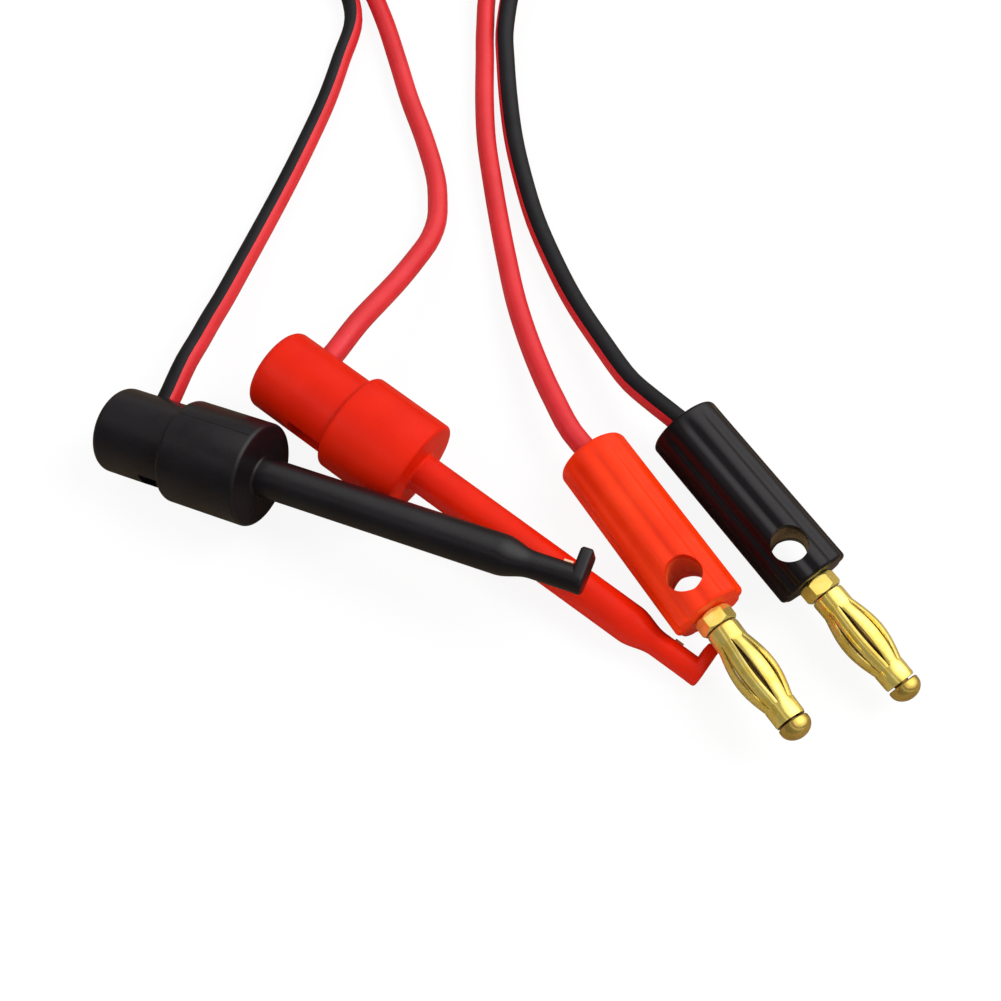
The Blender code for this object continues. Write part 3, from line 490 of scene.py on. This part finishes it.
def combine(target, tools):
    """Applies Boolean steps, given as (operation, bmesh), to the target's mesh."""
    for i, (operation, bm) in enumerate(tools):
        bmesh.ops.recalc_face_normals(bm, faces=bm.faces)
        mesh = bpy.data.meshes.new(f"{target.name}_tool_{i}")
        bm.to_mesh(mesh)
        bm.free()
        tool = bpy.data.objects.new(mesh.name, mesh)
        bpy.context.scene.collection.objects.link(tool)
        step = target.modifiers.new(mesh.name, "BOOLEAN")
        step.operation = operation
        step.solver = "EXACT"
        step.object = tool
        bpy.context.view_layer.update()
        graph = bpy.context.evaluated_depsgraph_get()
        result = bpy.data.meshes.new_from_object(target.evaluated_get(graph))
        target.modifiers.clear()
        target.data = result
        bpy.data.objects.remove(tool, do_unlink=True)
    target.data.shade_smooth()
    target.data.set_sharp_from_angle(angle=SHARP_ANGLE)


def finished(target, place, body, nodes):
    """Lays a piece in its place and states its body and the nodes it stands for."""
    target.data.transform(place)
    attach(target, body)
    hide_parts(*nodes)


# Wires
def wire_tube(name, path, looks, stripe_at=None):
    """Round tube along path; stripe_at gives, by length share, the direction of its red half's first edge."""
    bm = bmesh.new()
    count = len(path)
    normals = []
    tangents = []
    for i in range(count):
        a = path[max(0, i - 1)]
        b = path[min(count - 1, i + 1)]
        tangents.append((b - a).normalized())
    up = Vector((0.0, 0.0, 1.0))
    for i in range(count):
        side = tangents[i].cross(up)
        if side.length < 0.05:
            side = normals[-1]
        normals.append(side.normalized())
    rings = []
    for i in range(count):
        right = normals[i]
        top = right.cross(tangents[i]).normalized()
        turn = math.radians(stripe_at(i / (count - 1))) if stripe_at else 0.0
        ring = []
        for k in range(WIRE_SIDES):
            angle = turn + 2 * math.pi * k / WIRE_SIDES
            outward = top * math.cos(angle) + right * math.sin(angle)
            ring.append(bm.verts.new(path[i] + outward * WIRE_RADIUS))
        rings.append(ring)
    for first, second in zip(rings, rings[1:]):
        for k in range(WIRE_SIDES):
            j = (k + 1) % WIRE_SIDES
            face = bm.faces.new((first[k], second[k], second[j], first[j]))
            if stripe_at:
                face.material_index = 1 if k < WIRE_SIDES // 2 else 0
    bm.faces.new(list(reversed(rings[0])))
    bm.faces.new(rings[-1])
    return new_object(name, bm, looks, Matrix.Identity(4))


def wire_path(clip_start, clip_next, clip_route, level, plug_route, plug_next, plug_start):
    loose = [Vector(p) * MM + CENTRING for p in clip_route]
    back = [Vector(p) * MM + CENTRING for p in plug_route]
    coil = [p + CENTRING for p in coil_points(level)]
    route = [clip_start, clip_next] + loose + coil + back[::-1] + [plug_next, plug_start]
    return smooth_line(route, WIRE_POINT_SPACING)


def wire(colour, clip_route, level, plug_route, looks, stripe_at):
    clip = place_of(colour + "_clip")
    plug = place_of(colour + "_plug")
    hole = -COLLAR_LENGTH - GRIP_EXPOSURE - DRAWN[colour] + WIRE_HOLE_FROM_END
    start = clip @ Vector((hole, GRIP_RADIUS - WIRE_START_DEPTH, 0.0))
    after = clip @ Vector((hole, GRIP_RADIUS + WIRE_EXIT_STRAIGHT, 0.0))
    end = plug @ Vector((-SLEEVE_LENGTH + WIRE_END_DEPTH, 0.0, 0.0))
    before = plug @ Vector((-SLEEVE_LENGTH - WIRE_EXIT_STRAIGHT, 0.0, 0.0))
    path, length = wire_path(start, after, clip_route, level, plug_route, before, end)
    print(colour, "wire length", round(length, 4))
    tube = wire_tube(colour + "_wire", path, looks, stripe_at)
    middle = ["cord_coil"] if colour == "red" else []
    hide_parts(colour + "_clip_tail", colour + "_plug_tail", *middle)
    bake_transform(tube)


# By share of the black wire's length, where its red half's first edge lies, in degrees from straight up
# towards the right
STRIPE_TURNS = [(0.0, 27.0), (0.14, 27.0), (0.22, 90.0), (0.78, 90.0), (0.88, 55.0), (1.0, 47.0)]


def black_stripe(share):
    """Direction of the red half's first edge at a share of the black wire's length, from STRIPE_TURNS."""
    for (before, first), (after, second) in zip(STRIPE_TURNS, STRIPE_TURNS[1:]):
        if share <= after:
            break
    return first + (second - first) * (share - before) / (after - before)


wire("red", RED_CLIP_ROUTE, 0, RED_PLUG_ROUTE, ["red_wire"], None)
wire("black", BLACK_CLIP_ROUTE, 1, BLACK_PLUG_ROUTE, ["black_wire", "red_wire"], black_stripe)


# Hook clips
SEAM_ANGLE = {"black": 66.0, "red": 46.0}


def hook_foot():
    """Foot across the neck's end, round below like the neck and square above, with softened rims."""
    corner = FOOT_HALF_WIDTH - FOOT_ROUND
    top = FOOT_REACH - FOOT_ROUND
    stations = []
    for degrees in (0.0, 22.5, 45.0, 67.5, 90.0):
        angle = math.radians(degrees)
        inward = FOOT_BEVEL * (1 - math.cos(angle))
        stations.append((FOOT_BACK + inward, FOOT_BEVEL * (1 - math.sin(angle))))
    stations += [(FOOT_BACK + FOOT_FRONT - x, less) for x, less in reversed(stations)]
    bm = bmesh.new()
    rings = []
    for x, less in stations:
        outline = arc(0.0, 0.0, FOOT_HALF_WIDTH - less, 90, 270, 24)
        outline += arc(top, -corner, FOOT_ROUND - less, 270, 360, 6)
        outline += arc(top, corner, FOOT_ROUND - less, 0, 90, 6)
        rings.append([bm.verts.new((x, y, z)) for y, z in outline])
    for first, second in zip(rings, rings[1:]):
        for i in range(len(first)):
            j = (i + 1) % len(first)
            bm.faces.new((first[j], first[i], second[i], second[j]))
    bm.faces.new(rings[0])
    bm.faces.new(rings[-1])
    return bm


def clip_barrel(colour, look, place):
    bore = GRIP_RADIUS + GRIP_CLEARANCE
    rod_bore_end = FOOT_BACK + ROD_BORE_INTO_FOOT
    neck_end = FOOT_BACK + NECK_INTO_FOOT
    rear = -COLLAR_LENGTH
    profile = [(rod_bore_end, 0.0), (rod_bore_end, ROD_BORE_RADIUS), (SPRING_BORE_DEPTH, ROD_BORE_RADIUS),
               (SPRING_BORE_DEPTH, SPRING_BORE_RADIUS), (-COLLAR_FRONT_WALL, SPRING_BORE_RADIUS),
               (-COLLAR_FRONT_WALL, bore), (rear, bore)]
    edge = COLLAR_REAR_ROUND
    profile += arc(rear + edge, COLLAR_RADIUS - edge, edge, 180, 90, 8)
    edge = COLLAR_FRONT_ROUND
    profile += arc(-edge, COLLAR_RADIUS - edge, edge, 90, 0, 6)
    profile += arc(STEM_ROOT_FILLET, STEM_ROOT_RADIUS + STEM_ROOT_FILLET, STEM_ROOT_FILLET, 180, 270, 6)
    profile += [(STEM_LENGTH, STEM_END_RADIUS)]
    for i in range(1, 11):
        share = i / 10
        ease = (1 - math.cos(math.pi * share)) / 2
        radius = STEM_END_RADIUS - (STEM_END_RADIUS - NECK_RADIUS) * ease
        profile.append((STEM_LENGTH + CONE_LENGTH * share, radius))
    profile += [(neck_end, NECK_RADIUS), (neck_end, 0.0)]
    barrel = new_object(colour + "_barrel", turned(profile, CLIP_FACETS), [look], Matrix.Identity(4))
    slot = block((FOOT_BACK - NECK_SLOT_LENGTH, 0.0, -NECK_SLOT_HALF_WIDTH),
                 (rod_bore_end, 2 * NECK_RADIUS, NECK_SLOT_HALF_WIDTH))
    seam = block((rear + SEAM_REAR_GAP, COLLAR_RADIUS - SEAM_DEPTH, -SEAM_HALF_WIDTH),
                 (-SEAM_FRONT_GAP, COLLAR_RADIUS + SEAM_PROUD, SEAM_HALF_WIDTH))
    seam.transform(Matrix.Rotation(math.radians(SEAM_ANGLE[colour]), 4, "X"))
    combine(barrel, [("DIFFERENCE", slot), ("UNION", hook_foot()), ("UNION", seam)])
    finished(barrel, place, "lead", [colour + "_clip_barrel"])


def clip_grip(colour, look, place):
    rear = -COLLAR_LENGTH - GRIP_EXPOSURE - DRAWN[colour]
    bore = GRIP_RADIUS - GRIP_WALL
    edge = GRIP_REAR_ROUND
    chamfer = GRIP_FRONT_CHAMFER
    profile = [(0.0, 0.0)]
    profile += arc(edge, GRIP_RADIUS - edge, edge, 180, 90, 8)
    profile += [(GRIP_LENGTH - chamfer, GRIP_RADIUS), (GRIP_LENGTH, GRIP_RADIUS - chamfer)]
    profile += [(GRIP_LENGTH, bore), (GRIP_END_WALL, bore), (GRIP_END_WALL, GRIP_BOSS_RADIUS),
                (GRIP_BOSS_END, GRIP_BOSS_RADIUS), (GRIP_BOSS_END, GRIP_BOSS_BORE_RADIUS),
                (GRIP_BOSS_BORE_START, GRIP_BOSS_BORE_RADIUS), (GRIP_BOSS_BORE_START, 0.0)]
    profile = [(rear + x, r) for x, r in profile]
    grip = new_object(colour + "_grip_cap", turned(profile, CLIP_FACETS), [look], Matrix.Identity(4))
    half = GRIP_SLOT_HALF_WIDTH
    beyond = rear + 2 * GRIP_LENGTH
    slot = block((rear + WIRE_HOLE_FROM_END - half, 0.0, -half), (beyond, 2 * GRIP_RADIUS, half))
    far_slot = block((rear + FAR_SLOT_FROM_END, -2 * GRIP_RADIUS, -half), (beyond, 0.0, half))
    combine(grip, [("DIFFERENCE", slot), ("DIFFERENCE", far_slot)])
    finished(grip, place, colour + "_grip", [colour + "_clip_grip"])


def jaw_spring(colour):
    """Steel copy of the hidden spring, against which the grip draws the rod back; the copy keeps its shape."""
    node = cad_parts[colour + "_jaw_spring"]
    mesh = node.data.copy()
    mesh.transform(node.matrix_world)
    mesh.materials.clear()
    mesh.materials.append(LOOKS["steel"])
    spring = bpy.data.objects.new(colour + "_spring", mesh)
    bpy.context.scene.collection.objects.link(spring)
    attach(spring, "lead")
    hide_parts(colour + "_jaw_spring")
    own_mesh(spring)


# Plugs
def flute(angle, x, r):
    """Radius of the fluted sleeve; its bore stays round and the flutes fade out at the wire's end."""
    if r < SLEEVE_RADIUS - SLEEVE_FLUTED_SKIN:
        return r
    wave = (0.5 - 0.5 * math.cos(SLEEVE_FLUTES * angle)) ** SLEEVE_FLUTE_SHARPNESS
    fade = min(1.0, (x + SLEEVE_LENGTH) / SLEEVE_FLUTE_FADE)
    return r - SLEEVE_FLUTE_DEPTH * wave * fade


def side_socket():
    """Cylinder that cuts the side socket through a sleeve or a core."""
    low = -2 * SLEEVE_RADIUS
    high = 2 * SLEEVE_RADIUS
    profile = [(low, 0.0), (low, SIDE_SOCKET_RADIUS), (high, SIDE_SOCKET_RADIUS), (high, 0.0)]
    bm = turned(profile, FINE_FACETS)
    across = Matrix.Rotation(math.pi / 2, 4, "Y")
    bm.transform(Matrix.Translation((-SIDE_SOCKET_FROM_FRONT, 0.0, 0.0)) @ across)
    return bm


def plug_sleeve(colour, look, place):
    wire_hole = WIRE_RADIUS + WIRE_HOLE_CLEARANCE
    front = -SLEEVE_FRONT_WALL
    bottom = -SLEEVE_BORE_DEPTH
    rear = -SLEEVE_LENGTH
    edge = SLEEVE_EDGE_ROUND
    profile = [(0.0, ROOT_HOLE_RADIUS), (front, ROOT_HOLE_RADIUS), (front, SLEEVE_BORE_RADIUS),
               (bottom, SLEEVE_BORE_RADIUS), (bottom, wire_hole), (rear, wire_hole)]
    profile += arc(rear + edge, SLEEVE_RADIUS - edge, edge, 180, 90, 6)
    profile += [(rear + SLEEVE_FLUTE_FADE * i / 6, SLEEVE_RADIUS) for i in range(2, 7)]
    profile += arc(-edge, SLEEVE_RADIUS - edge, edge, 90, 0, 6)
    sleeve = new_object(colour + "_sleeve", turned(profile, SLEEVE_FACETS, flute), [look], Matrix.Identity(4))
    combine(sleeve, [("DIFFERENCE", side_socket())])
    finished(sleeve, place, "lead", [colour + "_plug_sleeve"])


def plug_core(colour, place):
    front = -SLEEVE_FRONT_WALL - CORE_CLEARANCE
    recess = front - CORE_RECESS
    back = front - CORE_LENGTH
    cup_back = back - CUP_LENGTH
    profile = [(recess, 0.0), (recess, ROOT_HOLE_RADIUS), (front, ROOT_HOLE_RADIUS), (front, CORE_RADIUS),
               (back, CORE_RADIUS), (back, CUP_RADIUS), (cup_back, CUP_RADIUS), (cup_back, CUP_BORE_RADIUS),
               (back, CUP_BORE_RADIUS), (back, 0.0)]
    # The brass core takes its plug's hole colour: painted shade and reflected light in the cross hole
    core = new_object(colour + "_core", turned(profile, CORE_FACETS), [colour + "_socket"], Matrix.Identity(4))
    combine(core, [("DIFFERENCE", side_socket())])
    finished(core, place, "lead", [colour + "_plug_core"])


def pin_flange(colour):
    """Hexagonal flange with both faces turned down at the corners."""
    start = PIN_FLANGE_START
    end = PIN_FLANGE_END
    flat = PIN_FLANGE_ACROSS_FLATS / 2
    corner = flat / math.cos(math.pi / 6)
    chamfer = corner - flat
    outside = corner + PIN_FLANGE_MARGIN
    hexagon = turned([(start, 0.0), (start, corner), (end, corner), (end, 0.0)], 6)
    profile = [(start - PIN_FLANGE_FACE, 0.0), (start, corner - chamfer), (start + chamfer, outside),
               (end - chamfer, outside), (end, corner - chamfer), (end + PIN_FLANGE_FACE, 0.0)]
    turning = turned(profile, FINE_FACETS)
    flange = new_object(colour + "_flange", hexagon, ["gold_painted_shade", "gold"], Matrix.Identity(4))
    combine(flange, [("INTERSECT", turning)])
    bm = bmesh.new()
    bm.from_mesh(flange.data)
    bpy.data.objects.remove(flange, do_unlink=True)
    return bm


def plug_pin(colour, place):
    profile = [(-PIN_ROOT_DEPTH, 0.0), (-PIN_ROOT_DEPTH, PIN_ROOT_RADIUS), (PIN_SHOULDER, PIN_ROOT_RADIUS),
               (PIN_SHOULDER, PIN_RADIUS), (PIN_LENGTH, PIN_RADIUS), (PIN_LENGTH, 0.0)]
    pin = new_object(colour + "_pin", turned(profile, PIN_FACETS), ["gold_painted_shade", "gold"], Matrix.Identity(4))
    combine(pin, [("UNION", pin_flange(colour))])
    # Shaft faces past this point take the dark gold: painted shade inside the cage
    for face in pin.data.polygons:
        face.material_index = 1 if face.center.x < PIN_PAINTED_SHADE_FROM else 0
    finished(pin, place, "lead", [colour + "_plug_pin"])


# Where the slits start and end, as shares of the basket's length
FIRST_LEAF = BASKET_REAR_RING / BASKET_LENGTH
LAST_LEAF = 1 - BASKET_FRONT_RING / BASKET_LENGTH


def basket_radius(share):
    """Radius of the cage's outside at a share of its length."""
    straight = BASKET_REAR_RADIUS + (BASKET_FRONT_RADIUS - BASKET_REAR_RADIUS) * share
    if share <= FIRST_LEAF or share >= LAST_LEAF:
        return straight
    bow = math.sin(math.pi * (share - FIRST_LEAF) / (LAST_LEAF - FIRST_LEAF))
    return straight + (BASKET_BULGE_RADIUS - straight) * bow


def cage_ring(bm, x, radius, half_leaf, curl):
    """One ring of a cage's points, leaf after leaf; curl is how far a leaf's edges fall from its middle."""
    ring = []
    for leaf in range(BASKET_LEAVES):
        for i in range(LEAF_COLUMNS + 1):
            off_middle = 2 * i / LEAF_COLUMNS - 1
            angle = 2 * math.pi * (leaf + 0.5 + half_leaf * off_middle) / BASKET_LEAVES
            here = radius - curl * off_middle * off_middle
            ring.append(bm.verts.new((x, here * math.cos(angle), here * math.sin(angle))))
    return ring


def spring_basket(colour, place):
    """Thin sheet cage: bowed leaves of even width, slits that open towards the middle, softened end rings."""
    shares = [0.0, 0.02, FIRST_LEAF - 0.01]
    shares += [FIRST_LEAF + (LAST_LEAF - FIRST_LEAF) * i / LEAF_ROWS for i in range(LEAF_ROWS + 1)]
    shares += [LAST_LEAF + 0.01, 0.98, 1.0]
    columns = BASKET_LEAVES * (LEAF_COLUMNS + 1)
    last = len(shares) - 1
    bm = bmesh.new()
    outer = []
    inner = []
    for share in shares:
        x = BASKET_START + BASKET_LENGTH * share
        outside = basket_radius(share)
        half_leaf = (1 - BASKET_SLIT_SHARE) / 2 * min(1.0, BASKET_REAR_RADIUS / outside)
        if share in (0.0, 1.0):
            outside -= BASKET_END_ROUND
            inside = BASKET_INSIDE_RADIUS
        else:
            inside = max(BASKET_INSIDE_RADIUS, outside - LEAF_THICKNESS)
        curl = LEAF_CURL if FIRST_LEAF < share < LAST_LEAF else 0.0
        outer.append(cage_ring(bm, x, outside, half_leaf, curl))
        inner.append(cage_ring(bm, x, inside, half_leaf, 0.0))

    def open_cell(row, column):
        between_leaves = column % (LEAF_COLUMNS + 1) == LEAF_COLUMNS
        return between_leaves and shares[row] >= FIRST_LEAF - 1e-6 and shares[row + 1] <= LAST_LEAF + 1e-6

    for row in range(last):
        for column in range(columns):
            beside = (column + 1) % columns
            if open_cell(row, column):
                continue
            near, near_side = outer[row][column], outer[row][beside]
            far, far_side = outer[row + 1][column], outer[row + 1][beside]
            near_in, near_side_in = inner[row][column], inner[row][beside]
            far_in, far_side_in = inner[row + 1][column], inner[row + 1][beside]
            bm.faces.new((near_side, near, far, far_side))
            bm.faces.new((near_in, near_side_in, far_side_in, far_in))
            if open_cell(row, beside):
                bm.faces.new((near_side, far_side, far_side_in, near_side_in))
            if open_cell(row, (column - 1) % columns):
                bm.faces.new((far, near, near_in, far_in))
            if row == 0 or open_cell(row - 1, column):
                bm.faces.new((near, near_side, near_side_in, near_in))
            if row == last - 1 or open_cell(row + 1, column):
                bm.faces.new((far_side, far, far_in, far_side_in))
    # Faces deeper than the outer skin take the dark gold: painted shade inside the cage
    for face in bm.faces:
        middle = face.calc_center_median()
        painted_shade_within = basket_radius((middle.x - BASKET_START) / BASKET_LENGTH) - BASKET_PAINTED_SHADE_DEPTH
        face.material_index = 1 if math.hypot(middle.y, middle.z) < painted_shade_within else 0
    basket = new_object(colour + "_basket_cage", bm, ["gold", "gold_painted_shade"], Matrix.Identity(4))
    finished(basket, place, colour + "_basket", [colour + "_spring_basket"])


def pin_cap(colour, place):
    back = BASKET_START + BASKET_LENGTH + CAP_GAP
    recess = back + CAP_RECESS
    edge = CAP_EDGE_ROUND
    profile = [(recess, 0.0), (recess, CAP_NECK_RADIUS), (back, CAP_NECK_RADIUS)]
    profile += arc(back + edge, CAP_RADIUS - edge, edge, 180, 90, 4)
    for i in range(1, CAP_DOME_STEPS):
        angle = math.radians(90.0 * i / CAP_DOME_STEPS)
        profile.append((back + CAP_RIM + CAP_DOME * math.sin(angle), CAP_RADIUS * math.cos(angle)))
    profile.append((back + CAP_RIM + CAP_DOME, 0.0))
    # The cap takes the darker gold, a painted shade
    cap = new_object(colour + "_cap", turned(profile, FINE_FACETS), ["gold_cap_painted_shade"], Matrix.Identity(4))
    finished(cap, place, "lead", [colour + "_pin_cap"])


for colour in ("black", "red"):
    clip_look = colour + "_clip_plastic"
    plug_look = colour + "_plug_plastic"
    clip_place = place_of(colour + "_clip")
    plug_place = place_of(colour + "_plug")
    clip_barrel(colour, clip_look, clip_place)
    clip_grip(colour, clip_look, clip_place)
    jaw_spring(colour)
    plug_sleeve(colour, plug_look, plug_place)
    plug_core(colour, plug_place)
    plug_pin(colour, plug_place)
    spring_basket(colour, plug_place)
    pin_cap(colour, plug_place)
    # The red clip's rod takes the near-black copper as painted shade in its slot
    rod_look = "copper" if colour == "black" else "copper_painted_shade"
    kept = {"contact_rod": rod_look, "spring_bush": "brass", "solder_ferrule": "brass",
            "clip_wire_end": colour + "_wire", "plug_wire_end": colour + "_wire"}
    for part_name, look in kept.items():
        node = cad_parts[f"{colour}_{part_name}"]
        node.data.materials.clear()
        node.data.materials.append(LOOKS[look])


# Floor, light and view
def floor():
    """White to the camera, dark and warm where a glossy surface mirrors it, and it keeps some shadow."""
    bm = bmesh.new()
    bmesh.ops.create_grid(bm, x_segments=1, y_segments=1, size=FLOOR_HALF_SIZE)
    made = new_object("floor", bm, [], Matrix.Translation((0.0, 0.0, -FLOOR_GAP)))
    look, nodes, links, shader = material("floor_white")
    shader.inputs["Base Color"].default_value = (0.93, 0.93, 0.93, 1.0)
    shader.inputs["Roughness"].default_value = 0.8
    shader.inputs["Specular IOR Level"].default_value = 0.1
    reflected = nodes.new("ShaderNodeBsdfDiffuse")
    reflected.inputs["Color"].default_value = (0.2, 0.15, 0.1, 1.0)
    glow = nodes.new("ShaderNodeEmission")
    glow.inputs["Color"].default_value = (1.0, 1.0, 1.0, 1.0)
    glow.inputs["Strength"].default_value = 1.0
    ray = nodes.new("ShaderNodeLightPath")
    share = nodes.new("ShaderNodeMath")
    share.operation = "MULTIPLY"
    share.inputs[1].default_value = FLOOR_GLOW_SHARE
    links.new(ray.outputs["Is Camera Ray"], share.inputs[0])
    darken = nodes.new("ShaderNodeMixShader")
    links.new(ray.outputs["Is Glossy Ray"], darken.inputs["Fac"])
    links.new(shader.outputs["BSDF"], darken.inputs[1])
    links.new(reflected.outputs["BSDF"], darken.inputs[2])
    mix = nodes.new("ShaderNodeMixShader")
    links.new(share.outputs["Value"], mix.inputs["Fac"])
    links.new(darken.outputs["Shader"], mix.inputs[1])
    links.new(glow.outputs["Emission"], mix.inputs[2])
    links.new(mix.outputs["Shader"], nodes["Material Output"].inputs["Surface"])
    made.data.materials.append(look)


floor()

world = bpy.data.worlds.new("studio")
bpy.context.scene.world = world
world.use_nodes = True
world_nodes = world.node_tree.nodes
world_links = world.node_tree.links
surround = world_nodes["Background"]
surround.inputs["Color"].default_value = (1.0, 1.0, 1.0, 1.0)
surround.inputs["Strength"].default_value = 0.55
mirror = world_nodes.new("ShaderNodeBackground")
mirror.inputs["Strength"].default_value = 3.0
direction = world_nodes.new("ShaderNodeTexCoord")
towards = world_nodes.new("ShaderNodeVectorMath")
towards.operation = "DOT_PRODUCT"
towards.inputs[1].default_value = (0.5, 0.3, 0.812)
world_links.new(direction.outputs["Generated"], towards.inputs[0])
SKY_GREYS = [(0.0, 0.03), (0.15, 0.05), (0.27, 0.26), (0.38, 0.05),
             (0.56, 0.08), (0.66, 0.39), (0.82, 0.44), (0.92, 0.85)]
stops = [(position, (grey, grey, grey)) for position, grey in SKY_GREYS]
sky = ramp(world_nodes, world_links, towards.outputs["Value"], stops)
world_links.new(sky, mirror.inputs["Color"])
world_ray = world_nodes.new("ShaderNodeLightPath")
world_mix = world_nodes.new("ShaderNodeMixShader")
world_links.new(world_ray.outputs["Is Glossy Ray"], world_mix.inputs["Fac"])
world_links.new(surround.outputs["Background"], world_mix.inputs[1])
world_links.new(mirror.outputs["Background"], world_mix.inputs[2])
backdrop = world_nodes.new("ShaderNodeBackground")
backdrop.inputs["Color"].default_value = (1.0, 1.0, 1.0, 1.0)
seen = world_nodes.new("ShaderNodeMixShader")
world_links.new(world_ray.outputs["Is Camera Ray"], seen.inputs["Fac"])
world_links.new(world_mix.outputs["Shader"], seen.inputs[1])
world_links.new(backdrop.outputs["Background"], seen.inputs[2])
world_links.new(seen.outputs["Shader"], world_nodes["World Output"].inputs["Surface"])


def lamp(name, where, target, size_x, size_y, watts):
    data = bpy.data.lights.new(name, "AREA")
    data.shape = "RECTANGLE"
    data.size = size_x
    data.size_y = size_y
    data.energy = watts
    made = bpy.data.objects.new(name, data)
    bpy.context.scene.collection.objects.link(made)
    made.location = where
    made.rotation_euler = (Vector(target) - Vector(where)).to_track_quat("-Z", "Y").to_euler()
    made.visible_glossy = False


lamp("key", (0.54, 0.10, 0.62), (0.0, 0.0, 0.0), 0.45, 0.45, 5.6)
lamp("fill", (-0.45, -0.05, 0.6), (0.0, 0.0, 0.0), 0.5, 0.4, 1.4)

bpy.context.scene.view_settings.view_transform = "Standard"
